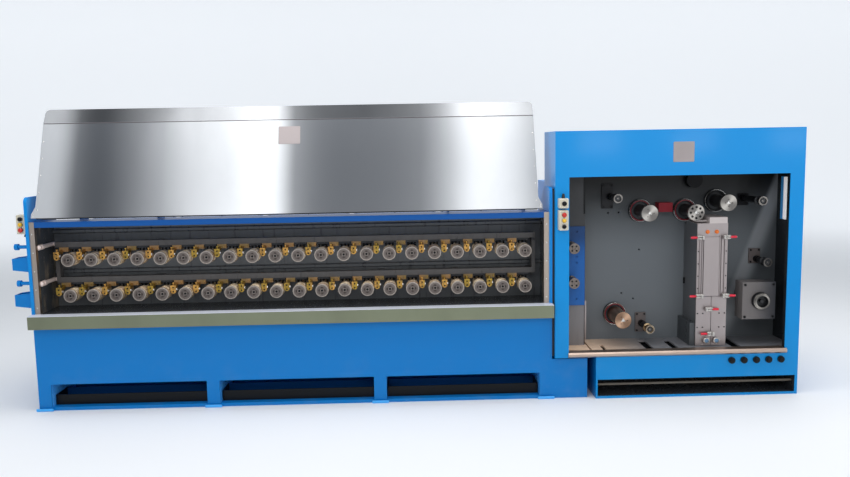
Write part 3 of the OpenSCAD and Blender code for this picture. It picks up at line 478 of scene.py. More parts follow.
def capstan_steel(name):
    """The distance from the nearest capstan's axis comes from x and z carried back into one pitch
    each. It picks the tone of the turned end: a pale rim, a dark web with lit sectors, and a hub."""
    f = Finish(name)
    rise = float(ROW_RISE * MM)
    x = (f.axis("X") - float((DRAW_LOW[0] + CAP_X0) * MM)).wrap(float(PITCH * MM / 2))
    z = (f.axis("Z") - float(ROWS_Z.mean() * MM) + rise / 2).wrap(rise / 2)
    r = (x * x + z * z).root()
    turned = f.mix(f.noise(30, 4).step(0.4, 0.7), "#f3e0c2", "#c0a47a")
    body = f.mix(f.noise(1.0, 2, (3, 80, 3)).step(0.5, 0.6) * 0.7, turned, "#8a5f48")
    sectors = x * z / (r * r + 0.000001)
    web = f.mix(sectors * sectors * 3.2, "#4d4542", "#7d746f")
    faced = f.mix(r > CAP_RIM, "#79706b", "#aca298")
    faced = f.mix((r < CAP_WEB) * (r > CAP_HUB), faced, web)
    faced = f.mix(r < CAP_HUB, faced, "#857c76")
    face = f.axis("Y") < float((CAP_LOW[1] + CAP_FACE_T) * MM)
    f.set("Base Color", f.mix(face, body, faced))
    f.set("Metallic", 0.35 + face * 0.45)
    f.set("Roughness", 0.36 + f.noise(50, 3) * 0.14)
    return f.bump(f.noise(240, 3), 0.0001, 0.5).material


def half_black(name, centre, bright, hollow, tones, inner="#17181b"):
    """A turned piece whose front is bright steel for a distance, and black behind it. Inside the
    hollow radius what lies deeper than the front face is dark too. xz / r squared marks sectors."""
    f = Finish(name)
    x, face, z = (float(v * MM) for v in centre)
    across, deep, up = f.axis("X") - x, f.axis("Y") - face, f.axis("Z") - z
    square = across * across + up * up + 0.000001
    inside = (square.root() < hollow * MM) * (deep > 0.0012)
    front = (deep < bright * MM) * (1 - inside)
    rings = f.noise(1.0, 3, (260, 10, 260))
    sectors = 0.5 + across * up / square
    steel = f.mix(sectors * sectors * 0.8 + rings * 0.3, *tones)
    f.set("Base Color", f.mix(front, f.mix(inside, "#17181b", inner), steel))
    f.set("Metallic", front * 0.95)
    f.set("Roughness", 0.42 - front * 0.14 + rings * 0.08)
    return f.bump(rings, 0.00005, 0.3).material


TURNED = metal("turned_steel", "#c3b8ab", 0.32, (40, 900, 40), cloud=0.3)
GROUND = metal("ground_steel", "#dcdad6", 0.24, (500, 40, 500), cloud=0.25)
ROLLER_STEEL = metal("roller_steel", "#8c8783", 0.34, (200, 40, 200), cloud=0.3)
OFF_STEEL = metal("drawoff_steel", "#877e78", 0.36, (40, 900, 40), cloud=0.5, dark=0.5)
SILVER = metal("polished_clamp", "#bdb9b4", 0.24, (200, 200, 200), cloud=0.1)
BRASS = cast_brass("cast_brass")
CAPSTAN = capstan_steel("capstan_steel")
print(CAPSTAN.name, "has", len(CAPSTAN.node_tree.nodes), "nodes")

# %% [markdown]
# Boxes, buttons and grips are moulded plastic, one colour all through, so it needs only a fine
# grain and a little grime, which is duller and darker.

# %% Plastics
def plastic(name, colour, rough=0.38):
    f = Finish(name)
    grime = f.noise(26, 4).step(0.5, 0.8) * 0.25
    f.set("Base Color", f.mix(grime, colour, shaded(colour, 0.6)))
    f.set("Roughness", rough + grime * 0.3)
    return f.bump(f.noise(900, 2), 0.0002, 0.3).material


CREAM = plastic("cream_plastic", "#cfc8b4")
RED = plastic("red_plastic", "#c0281c", 0.3)
YELLOW = plastic("yellow_plastic", "#e0b020", 0.3)
ORANGE = plastic("orange_plastic", "#e0701c", 0.3)
RUBBER = plastic("black_rubber", "#17181a", 0.5)
PLUM = plastic("plum_insulator", "#76222b", 0.3)
GRIP_RED = plastic("red_grip", "#d5203a", 0.3)
print("finishes so far:", len(bpy.data.materials))

# %% [markdown]
# The CAD nodes are dressed by their material slots, or in a tone of their own where the photograph
# shows one. The wheels and rollers are bright at the front and black behind, except the two at the
# lower left, where warm sunlight falls: they carry a painted warm highlight all over.

# %% Finishes of the CAD nodes
WHEEL_TONES = ("#5a5755", "#bcb7b0")
ROLLER_TONES = ("#5f5c59", "#a09b95")
BLOCK_TONES = ("#565350", "#aba69f")
SUNLIT_WHEEL_TONES = ("#6f5645", "#cba68a")
SUNLIT_ROLLER_TONES = ("#8c785c", "#cdb48e")
ALL_BRIGHT = 400
slot_finish = {
    "blue_paint": BLUE, "blue_paint_dark": BLUE_DEEP, "stainless": STAINLESS, "grey_paint": GREY,
    "dark_grey": GREY_DARK, "black_steel": BLACK, "turned_steel": TURNED, "brass": BRASS,
    "machine_plastic": CREAM, "galvanised": ZINC, "aluminium": ALU}
node_finish = {
    "drip_ledge": STEEL_FOLD, "window_lip": CREAM_STEEL, "hood": HOOD_STEEL, "jamb_strips": JAMB_STEEL,
    "end_plates": BLUE_PLATES, "cabinet_shell": BLUE_CABINET, "draw_base": BLUE_BASE,
    "drawing_capstans": CAPSTAN, "chamber_back": GREY_BACK, "spray_headers": GREY_HEADER,
    "annealer_back_plate": annealer_paint("annealer_grey"), "annealer_floor": GREY_FLOOR,
    "drawoff_housing": GREY_HOUSING, "drawoff_plate": BLUE_DRAW, "drawoff_capstan_upper": OFF_STEEL,
    "drawoff_capstan_lower": OFF_STEEL, "wheel_mounts": GREY_MOUNTS, "roller_block": GREY_BLOCK,
    "block_roller": half_black("block_roller_steel", face_centre("block_roller"), 12, 45, BLOCK_TONES)}
# Painted light: the lower-left wheel and guide are pale warm steel over their whole length, for the sunlight
# on them.
for wheel, place in enumerate(WHEELS, 1):
    bright, tones = (27, WHEEL_TONES) if wheel < 4 else (ALL_BRIGHT, SUNLIT_WHEEL_TONES)
    node_finish[f"contact_wheel_{wheel}"] = half_black(f"wheel_{wheel}_steel", place, bright, 57, tones)
for guide, place in enumerate(GUIDES, 1):
    bright, tones = (10, ROLLER_TONES) if guide < 4 else (ALL_BRIGHT, SUNLIT_ROLLER_TONES)
    finish = half_black(f"guide_{guide}_steel", place, bright, 23, tones, "#3b3c3e")
    node_finish[f"guide_roller_{guide}"] = finish
slot_of = {part["node"]: part["material_slot"] for part in frame["record"]["subparts"]}

for name, node in nodes.items():
    node.data.materials.clear()
    node.data.materials.append(node_finish.get(name, slot_finish[slot_of[name]]))
print("dressed", len(nodes), "CAD nodes,", len(node_finish), "with a finish of their own")

# %% [markdown]
# Small hardware is worked out as surfaces. A turned piece is a profile of radius against height
# swung round an axis, and a plate is an outline lofted between levels with its rim drawn in.
# Blender's own primitives would do for one bolt, but plain arrays are easier to repeat.

# %% Turned shapes and plates
def ring_faces(rows, cols):
    """Quads between neighbouring rows of a grid whose columns close on themselves."""
    a = np.arange(rows - 1)[:, None] * cols + np.arange(cols)
    b = np.arange(rows - 1)[:, None] * cols + (np.arange(cols) + 1) % cols
    return np.stack([a, b, b + cols, a + cols], -1).reshape(-1, 4).tolist()


def lathe(profile, sides=24):
    """Points (r cos t, r sin t, h) for each (r, h) of the profile, and t round the circle. The two
    end rings are closed by one flat face each, unless they are the same ring, as on a torus."""
    r, h = np.array(profile, float).T
    t = np.arange(sides) * 2 * np.pi / sides
    points = np.stack([np.outer(r, np.cos(t)), np.outer(r, np.sin(t)), np.outer(h, np.ones(sides))], -1)
    faces = ring_faces(len(r), sides)
    last = (len(r) - 1) * sides
    if profile[0] != profile[-1]:
        faces += [list(range(sides))[::-1], list(range(last, last + sides))]
    return points.reshape(-1, 3), faces


def rounded(width, depth, radius, steps=4):
    """Outline of a rectangle about the origin: a quarter circle round each corner's own middle."""
    t = np.linspace(0, np.pi / 2, steps + 1) + np.arange(4)[:, None] * np.pi / 2
    middles = np.array([(1, 1), (-1, 1), (-1, -1), (1, -1)]) * (width / 2 - radius, depth / 2 - radius)
    return (middles[:, None] + radius * np.stack([np.cos(t), np.sin(t)], -1)).reshape(-1, 2)


def plate(width, depth, height, radius=3.0, edge=1.0):
    """A plate on z = 0: its outline is drawn in by the edge's width at the bottom and the top rim."""
    radius = max(min(radius, width / 2 - 0.01, depth / 2 - 0.01), edge + 0.01)
    inner = rounded(width - 2 * edge, depth - 2 * edge, radius - edge)
    outer = rounded(width, depth, radius)
    levels = [(inner, 0), (outer, edge), (outer, height - edge), (inner, height)]
    points = np.concatenate([np.column_stack([o, np.full(len(o), z)]) for o, z in levels])
    n = len(outer)
    caps = [list(range(n))[::-1], list(range(3 * n, 4 * n))]
    return points, ring_faces(4, n) + caps


print("a test plate has", len(plate(20, 10, 4)[0]), "points")

# %% [markdown]
# Each of the hundreds of bolts could be an object. Here a whole set goes into one mesh instead: a
# shape is turned to face its way, copied to each place, and handed to the body that it rides on.

# %% Copies and pieces
TURNS = {"-y": ((1, 0, 0), (0, 0, -1), (0, 1, 0)), "+y": ((1, 0, 0), (0, 0, 1), (0, -1, 0)),
         "-x": ((0, 0, -1), (0, 1, 0), (1, 0, 0)), "+x": ((0, 0, 1), (0, 1, 0), (-1, 0, 0)),
         "+z": ((1, 0, 0), (0, 1, 0), (0, 0, 1)), "-z": ((1, 0, 0), (0, -1, 0), (0, 0, -1))}


def facing(shape, way="-y"):
    """The shape turned so that its own +Z points the given way, forward if none is given."""
    return shape[0] @ np.array(TURNS[way], float).T, shape[1]


def scatter(shape, places):
    """One copy of the shape at each place: all offsets are added to all points at once."""
    points, faces = shape
    places = np.atleast_2d(np.array(places, float))
    many = (points[None] + places[:, None]).reshape(-1, 3)
    return many, [[i + k * len(points) for i in f] for k in range(len(places)) for f in faces]


def together(*shapes):
    points, faces, base = [], [], 0
    for p, f in shapes:
        points.append(p)
        faces += [[i + base for i in face] for face in f]
        base += len(p)
    return np.concatenate(points), faces


def piece(name, shape, material=BLACK, slot="black_steel", body="root"):
    """Puts the arrays, in millimetres of the shared frame, into a mesh that rides on a body."""
    points, faces = shape
    mesh = bpy.data.meshes.new(name)
    mesh.from_pydata(points * MM, [], faces)
    mesh.shade_smooth()
    mesh.set_sharp_from_angle(angle=np.radians(35))
    mesh.materials.append(material)
    thing = bpy.data.objects.new(name, mesh)
    bpy.context.scene.collection.objects.link(thing)
    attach(thing, body)
    print(name, len(points), "points,", len(faces), "faces")
    return thing


def hardware(name, shape, places, material=BLACK, slot="black_steel", body="root", way="-y"):
    """One piece with a copy of the shape at every place, facing the way given or else the front."""
    return piece(name, scatter(facing(shape, way), places), material, slot, body)


def socket_screw(r, head):
    """A cap screw with a round socket sunk in its head, head up on z = 0."""
    return lathe([(r, 0), (r, head - 0.8), (r - 0.8, head), (r * 0.58, head), (r * 0.5, head * 0.35)], 18)


def hex_bolt(r, head):
    """A washer under a six-sided head whose top corners are turned off."""
    washer = lathe([(r * 1.35, 0), (r * 1.35, r * 0.2), (r * 0.9, r * 0.2)], 20)
    points, faces = lathe([(r, 0), (r, head * 0.8), (r * 0.82, head)], 6)
    return together(washer, (points + (0, 0, r * 0.2), faces))


def circle(count, r, y, start):
    """Offsets evenly round a circle in a face that looks forward, the first at the start angle."""
    t = np.radians(np.arange(count) * 360 / count + start)
    return np.stack([r * np.cos(t), np.full(count, y), r * np.sin(t)], -1)


STEEL = (GROUND, "turned_steel")
print("a hexagonal bolt has", len(hex_bolt(6, 5)[0]), "points")

# %% [markdown]
# The capstans come out of the CAD model with their grooves. Around each of them the photograph
# shows a spray bar with fan nozzles, and a brass die block with a die held by two screws. Both rows
# are one grid of places, over which each kind of fitting is scattered.

# %% Nozzles, dies and capstan screws
row_x, row_z = (g.ravel() for g in np.meshgrid(CAP_X0 + PITCH * np.arange(ROW_N), ROWS_Z))
CAP_FACE = CAP_LOW[1] - FRONT_Y
CAP_SINK = 9.9
DIE_LOW = millimetres("die_holders")[0]
DIE_W = 40
DIE_T = 30
DIE_TOP = 56
DIE_X = DIE_LOW[0] + DIE_W / 2 - DRAW_LOW[0] - CAP_X0
DIE_Y = DIE_LOW[1] - FRONT_Y
BLOCK_X = DIE_X + 15
BLOCK_Y = 282
BAR_Y = 310
BAR_UP = 64

nozzle = lathe([(8, 0), (8, 8), (5.5, 10), (5.5, 19), (7, 20), (6, 25), (2, 25)], 10)
places = np.concatenate([draw(row_x + dx, BAR_Y, row_z + BAR_UP) for dx in (-26, 0, 26)])
hardware("spray_nozzles", nozzle, places, way="-z")
places = draw(row_x, CAP_FACE + CAP_SINK, row_z)
hardware("capstan_screws", socket_screw(8, 5), places)
places = np.concatenate([draw(row_x + DIE_X, DIE_Y, row_z + dz) for dz in (10.4, 40.4)])
hardware("die_screws", socket_screw(5.5, 5), places)
die_case = lathe([(13, 0), (13, 5), (11, 7), (6, 7), (3, 2)], 18)
places = draw(row_x + DIE_X + DIE_W / 2, DIE_Y + DIE_T / 2, row_z + DIE_TOP - 30)
hardware("die_cases", die_case, places, *STEEL, way="+x")
knob = lathe([(9, 0), (9, 3), (5, 5), (5, 11), (8, 13), (8, 19), (6, 21)], 14)
places = draw(row_x + DIE_X, DIE_Y + DIE_T / 2, row_z + DIE_TOP)
hardware("die_knobs", knob, places, BRASS, "brass", way="+z")
places = np.concatenate([draw(row_x + BLOCK_X + dx, BLOCK_Y, row_z + BAR_UP) for dx in (-24, 24)])
hardware("block_bolts", hex_bolt(6, 5), places, BRASS, "brass")

# %% [markdown]
# The wheels carry the annealing current, so red insulating rings in steel rims lie behind them.
# Each wheel has a hub with three screws, and each guide roller a rim and a sleeve on its shaft.
# These turn, so they ride on the wheel's or roller's own body, and the rings don't.

# %% Wheels and rollers
insulator = lathe([(71, 0), (79, 0), (79, 2.5), (77, 4), (73, 4), (71, 2.5), (71, 0)], 64)
rim = lathe([(82.5, 0), (85.7, 0), (85.7, 1.5), (84.5, 2.5), (82.5, 2), (82.5, 0)], 64)
ring_at = [(x, ROOM_BACK - 30, z) for x, _, z in WHEELS]
hardware("insulating_rings", insulator, [ring_at[i] for i in (0, 1, 3)], PLUM, "black_steel")
hardware("ring_rims", rim, ring_at, *STEEL)
corner_bolts = [(x + a, PLATE_FACE, z + b)
                for (x, _, z), (left, right, low, high) in zip(GUIDES, GUIDE_PLATES)
                for a in (left + 12, right - 12) for b in (low + 12, high - 12)]
hardware("guide_plate_bolts", socket_screw(7, 7), corner_bolts)
hub = facing(lathe([(17, 0), (17, 2), (15, 3.5), (9, 3.5), (8, 1)], 28))
hub_screw = facing(socket_screw(5, 3))
for i, at in enumerate(WHEELS, 1):
    shape = together(scatter(hub, at + (0, 5, 0)), scatter(hub_screw, at + circle(3, 12.5, 1.5, 90)))
    piece(f"wheel_{i}_hub", shape, *STEEL, f"contact_wheel_{i}")
ROLLER_LEN = 77
MOUNT_BOSS = 46
SLEEVE_GAP = 7
cup = facing(lathe([(31, 0), (31, 1.5), (27, 1.5), (26, 0), (31, 0)], 40))
pin = facing(socket_screw(7, 4))
for i, at in enumerate(GUIDES, 1):
    shape = together(scatter(cup, at), scatter(pin, at + (0, 12, 0)))
    piece(f"guide_{i}_rim", shape, ROLLER_STEEL, "turned_steel", f"guide_roller_{i}")
    end = PLATE_FACE - MOUNT_BOSS - SLEEVE_GAP
    free = end - at[1] - ROLLER_LEN
    sleeve = lathe([(18.2, 0), (23.5, 1), (24, 3), (24, free - 3), (23.5, free - 1), (18.2, free)], 36)
    hardware(f"guide_{i}_sleeve", sleeve, (at[0], end, at[2]), BLACK, "dark_grey", f"guide_roller_{i}")
for side in ("upper", "lower"):
    capstan = f"drawoff_capstan_{side}"
    places = face_centre(capstan) + circle(4, 22, 6.0, 45)
    hardware(f"drawoff_{side}_bolts", hex_bolt(5, 5), places, body=capstan)

# %% [markdown]
# A push-button station is a moulded box with a rounded lid, held by four screws, and each button is
# a domed cap in a metal collar. The boxes replace the plain ones of the CAD model, because their
# lids need rounder edges.

# %% Push-button stations
def mushroom(r, high):
    """A domed cap on a collar: over the cap, radius and height follow a quarter of a circle."""
    a = np.linspace(0, np.pi / 2, 7)[:-1]
    dome = [(r * np.cos(t), high * (0.55 + 0.45 * np.sin(t))) for t in a]
    return [(r * 0.62, 0), (r * 0.62, high * 0.4), (r * 0.95, high * 0.45)] + dome + [(r * 0.1, high)]


def station(name, centre, low, height, buttons):
    """A box with a rounded lid, four lid screws, and a collar and a cap for each button. The list
    gives each button's share of the height, its material and its radius."""
    x, y, _ = centre
    wide, deep, reach, lid_t = 68, 62, 24, 13.5
    body = facing(plate(wide, height, deep - 14, 7, 2))
    lid = facing(plate(wide - 3, height - 3, lid_t, 7, 2.5))
    z = low + height / 2
    front = y - deep
    shape = together(scatter(body, (x, y, z)), scatter(lid, (x, front + lid_t, z)))
    box = piece(name, shape, CREAM, "machine_plastic")
    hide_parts("push_stations")
    dx, dz = wide / 2 - 8, height / 2 - 8
    corners = [(x + a * dx, front, z + b * dz) for a in (-1, 1) for b in (-1, 1)]
    collar = facing(lathe([(19, 0), (19, 3), (17, 6), (14, 6), (14, 2)], 28))
    rims = [(x, front, low + share * height) for share, _, _ in buttons]
    screws = together(scatter(facing(socket_screw(3.4, 2.4)), corners), scatter(collar, rims))
    piece(name + "_collars", screws, GROUND, "machine_plastic")
    for k, (_, material, r) in enumerate(buttons):
        hardware(f"{name}_button_{k}", lathe(mushroom(r, reach), 32), rims[k], material,
                 "machine_plastic")


def gland(name, place, high=34):
    """A cable gland: a six-sided nut and a domed seal."""
    nut = lathe([(13, 0), (13, 9), (11.5, 10)], 6)
    seal = lathe([(10.5, 0), (10.5, high * 0.45), (9, high * 0.8), (6, high)], 20)
    piece(name, scatter(together(nut, seal), place), RUBBER, "black_steel")


pillar = cab(51, 0, 0)
station("pillar_station", pillar, 1251, 144, [(0.2, BLACK, 15), (0.5, YELLOW, 15), (0.78, RED, 17)])
station("pillar_switch", pillar, 1408, 70, [(0.5, BLACK, 17)])
gland("pillar_gland", cab(51, -31, 1478))
station("end_station", draw(-46, 130, 0), 1290, 140, [(0.22, RED, 17), (0.5, YELLOW, 15), (0.78, BLACK, 15)])
hanger = plate(26, 158, 6, 3)
hardware("end_station_bracket", hanger, draw(-13, 122, 1354))
gland("end_station_gland", draw(-30, 99, 1270), 20)

# %% [markdown]
# The annealing tube's housing has clamped covers. A toggle clamp is a base with screws, two links
# and a jaw, and a red grip that sticks out to the left or right. The clamps are worked out once for
# each hand, so that all plates are one piece and all grips another.

# %% Tube covers, clamps and buttons
TUBE_X = TUBE_LOW[0] - CAB_LOW[0]
TUBE_Y = 120
TUBE_Z = TUBE_LOW[2]
TUBE_W = TUBE_HIGH[0] - TUBE_LOW[0]
MIDDLE = TUBE_X + TUBE_W / 2
DOOR_TOP = TUBE_Z + 370
CLAMP_UP = 444


def toggles(places, way):
    """Clamp plates, links and grips in a row of places; the way is -1 for a handle to the left."""
    base = facing(plate(54, 32, 5, 3))
    link = facing(plate(38, 11, 7, 5))
    jaw = facing(plate(16, 30, 12, 4))
    shapes = [scatter(base, places + (0, -21, 0)), scatter(jaw, places + (-way * 18, -26, 0))]
    shapes += [scatter(link, places + (way * 8, -26, dz)) for dz in (-8, 8)]
    rivets = [places + (dx, -33, dz) for dx in (-6 * way, 22 * way) for dz in (-8, 8)]
    shapes.append(scatter(facing(lathe([(4, 0), (4, 3), (2, 5)], 12)), np.concatenate(rivets)))
    screws = [places + (dx, -26, dz) for dx in (-23, 23) for dz in (-12, 12)]
    shapes.append(scatter(facing(socket_screw(3, 2.5)), np.concatenate(screws)))
    grip = lathe([(6, 0), (8.4, 3), (8.4, 10), (9.4, 28), (8.6, 50), (5, 54)], 18)
    grips = scatter(facing(grip, "+x" if way > 0 else "-x"), places + (way * 21, -20, 0))
    return together(*shapes), grips


side_left = TUBE_X + 16
side_right = TUBE_X + TUBE_W - 16
heights = [DOOR_TOP + CLAMP_UP, DOOR_TOP + 8]
left = cab([side_left, side_left, MIDDLE - 8], TUBE_Y, [*heights, TUBE_Z + 93])
right = cab([side_right, side_right, MIDDLE - 24], TUBE_Y, [*heights, DOOR_TOP - 92])
plates, grips = zip(toggles(left, -1), toggles(right, 1))
piece("toggle_plates", together(*plates), SILVER, "aluminium")
piece("toggle_grips", together(*grips), GRIP_RED, "black_steel")
button = lathe([(15, 0), (15, 4), (12, 6), (12, 13), (10, 16), (4, 17)], 24)
places = cab([1145, 1213], TUBE_Y + 2, 1200)
hardware("reset_buttons", button, places, ORANGE, "black_steel")
door_x = np.array([TUBE_X + 12, TUBE_X + 52, TUBE_X + TUBE_W - 52, TUBE_X + TUBE_W - 12])
sx, sz = (g.ravel() for g in np.meshgrid(door_x, [487, 592]))
hardware("door_screws", socket_screw(5, 4), cab(sx, TUBE_Y, sz))
sx, sz = (g.ravel() for g in np.meshgrid([TUBE_X + 10, TUBE_X + TUBE_W - 10], np.arange(780, 1150, 92)))
hardware("cover_screws", socket_screw(4.5, 4), cab(sx, TUBE_Y + 2, sz))
eye_ring = lathe([(24, 0), (24, 3), (21, 5), (17, 5), (16, 1)], 32)
eye_glass = lathe([(16, 0), (15, 3), (9, 5), (2, 6)], 28)
GLASS = plastic("sight_glass", "#5f7f9c", 0.1)
eyes = cab(MIDDLE + np.array([-37, 37]), TUBE_Y - 24, TUBE_Z + 42)
hardware("sight_rings", eye_ring, eyes, SILVER, "aluminium")
hardware("sight_glasses", eye_glass, eyes, GLASS, "black_steel")
rails = [scatter(facing(plate(w, 446, 9, 2)), cab(TUBE_X + x, TUBE_Y + 2, DOOR_TOP + 232))
         for x, w in ((22, 8), (39, 8), (TUBE_W - 58, 8), (TUBE_W - 41, 14), (TUBE_W - 20, 8))]
piece("cover_rails", together(*rails), ALU, "aluminium")
knuckles = lathe([(6, 0), (7, 1), (7, 22), (6, 23), (6, 24), (7, 25), (7, 47), (6, 48)], 14)
leaf = facing(plate(44, 16, 4, 2), "-x")
seat = cab(TUBE_X, 370, 800)
piece("side_hinge", together(scatter(knuckles, seat + (-5, 0, -24)), scatter(leaf, seat)))

# %% [markdown]
# Small fittings finish the front: a black rubber strip in the gap between the two machines, a painted
# shadow for that gap, a slot and an edge at the draw-off housing with a painted shadow line down its
# right side, air ports, sole plates under the posts and a lamp in the cabinet. Its cover glows by its
# own emission, so that no light has to hide behind it.

# %% Roller block and small fittings
# Painted shadow: a black strip fills the gap between the end plate and the cabinet to darken it.
gap = (PLATE_HIGH[0] + CAB_LOW[0]) / 2
gap_shadow_plate = plate(CAB_LOW[0] - PLATE_HIGH[0] - 1, PLATE_HIGH[2] - 330, 4, 2, 0.5)
places = (gap, PLATE_LOW[1] + 8, (PLATE_HIGH[2] + 310) / 2)
hardware("gap_shadow_strip", gap_shadow_plate, places, RUBBER, "black_steel")
OFF_LOW, OFF_HIGH = millimetres("drawoff_housing")
slot = facing(plate(12, 275, 3, 2, 0.5))
# Painted shadow: the long thin black strip down the housing's right edge stands for the shadow line there.
line = facing(plate(4, 900, 3, 1, 0.3))
shape = together(scatter(slot, (OFF_HIGH[0] - 6, OFF_LOW[1], 1478)),
                 scatter(line, (OFF_HIGH[0] - 2.1, OFF_LOW[1], 798)))
piece("housing_slot_and_shadow_line", shape)
hardware("housing_edge", plate(16, 305, 3, 2, 0.5), cab(309, 399.9, 499), ALU, "grey_paint")
corners = [(x, BLOCK_LOW[1], z) for x in (BLOCK_LOW[0] + 18, BLOCK_HIGH[0] - 18)
           for z in (BLOCK_LOW[2] + 18, BLOCK_HIGH[2] - 18)]
hardware("block_screws", socket_screw(9, 7), corners)
port = lathe([(23, 0), (23, 4), (20, 7), (20, 12), (11, 13), (9, 19), (5, 19), (5, 14)], 28)
core = lathe([(4.5, 0), (4.5, 4), (3, 5)], 14)
port_x = 1296 + 91 * np.arange(5)
PORT_Z = 266
hardware("air_ports", port, cab(port_x, 0, PORT_Z))
hardware("air_port_cores", core, cab(port_x, -14, PORT_Z), GROUND, "black_steel")
POST_W = 92.0
post_x = DRAW_LOW[0] + POST_W / 2 + (DRAW_LEN - POST_W) / 3 * np.arange(4)
sole = plate(POST_W + 30, 20, 9, 4, 3)
places = [(x, FEET_LOW[1] + 0.5, 10.5) for x in post_x]
hardware("post_feet", sole, places, BLUE_LIT, "blue_paint")
LAMP = Finish("lamp_cover", roughness=0.3, base_color="#f4f6fa", emission_color=(1.0, 0.97, 0.97),
              emission_strength=0.35)
LAMP_X = 1790 - 6
LAMP_Z = 1427
hardware("lamp_strip", plate(318, 42, 16, 6, 3), cab(LAMP_X, 251, LAMP_Z), LAMP.material,
         "machine_plastic", way="-x")
hardware("lamp_bracket", plate(322, 58, 7, 3, 1), cab(LAMP_X, 302, LAMP_Z), BLUE_LIT, "blue_paint",
         way="-x")

# %% [markdown]
# The hood and the cabinet each carry a plate in the photograph. The plates are made bare here: a
# thin sheet with four rivets. The hood's plate leans with the sheet under it, so its arrays are
# turned about X by the hood's own angle before they are moved.

# %% Bare plates
def leant(shape, angle):
    """Turned about the X axis by the angle, away from the viewer."""
    c, s = np.cos(-angle), np.sin(-angle)
    return shape[0] @ np.array([(1, 0, 0), (0, c, -s), (0, s, c)]).T, shape[1]


def bare_plate(name, wide, high, place, lean, body):
    sheet = facing(plate(wide, high, 1.6, 6, 0.5))
    dx, dz = wide / 2 - 9, high / 2 - 9
    rivet = facing(lathe([(3.2, 0), (2.8, 1.6), (1.2, 2.4)], 14))
    rivets = scatter(rivet, [(a * dx, -1.6, b * dz) for a in (-1, 1) for b in (-1, 1)])
    points, faces = leant(together(sheet, rivets), lean)
    piece(name, (points + place, faces), ALU, "stainless", body)


HOOD_MIDDLE = (HOOD_LOW[0] + HOOD_HIGH[0]) / 2


def on_hood(x, up, out=0):
    """A place on the hood's face: along the machine, up the slope from its lower edge, and out."""
    s, c = np.sin(HOOD_LEAN), np.cos(HOOD_LEAN)
    return np.array([HOOD_MIDDLE + x, HOOD_LOW[1] + up * s - out * c, HOOD_EDGE_Z + up * c + out * s])


bare_plate("hood_plate", 158, 136, on_hood(-2, 590), HOOD_LEAN, "hood")
bare_plate("cabinet_plate", 150, 143, cab(915, 0, 1790), 0, "root")

# %% [markdown]
# A dark strip under the hood's upper strip is a painted shadow of the seam there. A rubber seal runs
# along the hood's lower edge and rivets up both sides. All of it leans and moves with the hood. The
# collars on the arms' pins ride on the arms.

# %% Seams, seals and fasteners of the hood
def on_slope(shape, x, up, out=0):
    """A front-facing shape leant with the hood and set on its face."""
    points, faces = leant(shape, HOOD_LEAN)
    return points + on_hood(x, up, out), faces


HOOD_LEN = HOOD_HIGH[0] - HOOD_LOW[0] - 50
# Painted shadow: a dark strip under the upper strip stands for the seam's shadow.
SEAM_SHADOW = plastic("seam_shadow", "#4b4244", 0.5)
seam_shadow_strip = facing(plate(HOOD_LEN - 6, 5, 1.4, 1, 0.4))
piece("hood_seam_shadow", on_slope(seam_shadow_strip, 0, HOOD_FACE - 6), SEAM_SHADOW, "stainless", "hood")
seal = facing(plate(HOOD_LEN - 20, 4, 15, 1, 0.5), "+y")
piece("hood_seal", on_slope(seal, 0, -2.2, -3), RUBBER, "black_steel", "hood")
rivet = facing(lathe([(5, 0), (4.5, 1.6), (2, 2.6)], 12))
rivets = [on_slope(rivet, a * (HOOD_LEN / 2 + 12), up) for a in (-1, 1) for up in (12, 26)]
rivets += [on_slope(rivet, a * (HOOD_LEN / 2 - 14), up) for a in (-1, 1) for up in range(60, 700, 128)]
piece("hood_rivets", together(*rivets), GROUND, "stainless", "hood")
PIN = on_hood(0, 700, -45)
arm_x = (PLATE_LOW[0] + PLATE_HIGH[0]) / 2 + np.array([-1700, -1110, 1110, 1700])
collar = lathe([(14, 0), (15, 1), (15, 5), (14, 6)], 20)
pins = together(*(scatter(facing(collar, way), [(x + out, PIN[1], PIN[2]) for x in arm_x])
                  for way, out in (("+x", 22), ("-x", -22))))
piece("hood_pin_collars", pins, *STEEL, "hood_arms")
lug_bolt = facing(hex_bolt(5, 4), "+y")
bolts = [on_slope(lug_bolt, x + dx, 699, -11) for x in arm_x - HOOD_MIDDLE for dx in (-46, 46)]
piece("hood_lug_bolts", together(*bolts), *STEEL, "hood")

# %% [markdown]
# The outer sheets are bolted on. Each bolt's place across is worked out from its sheet's own edges,
# so it stays there if the sheet gets wider. Up and down, the rows stand at chosen heights.

# %% Bolts on plates, jambs, stands and covers
jamb = [draw(x, 38, z) for x in (40.5, DRAW_LEN - 40.5) for z in np.linspace(760, 1290, 5)]
hardware("jamb_screws", socket_screw(5, 3.5), jamb, *STEEL)
end_bolts = [draw(-0.1, y, z) for y in (110, 400) for z in (760, 960, 1160, 1340)]
hardware("end_plate_bolts", hex_bolt(9, 7), end_bolts, *STEEL, way="-x")
STAND_LOW, STAND_HIGH = millimetres("hood_stands")
stand_bolts = [(x + 37 + dx, y, STAND_LOW[2] + 12) for x in arm_x for dx in (-24, 24)
               for y in (STAND_LOW[1] + 16, STAND_HIGH[1] - 16)]
hardware("stand_bolts", hex_bolt(9, 8), stand_bolts, *STEEL, way="+z")
bearing = lathe([(38, 0), (38, 4), (34, 7), (28, 7), (26, 5)], 36)
seats = [(x + 44, (STAND_LOW[1] + STAND_HIGH[1]) / 2, STAND_HIGH[2] - 45) for x in arm_x]
hardware("stand_bearings", bearing, seats, way="+x")

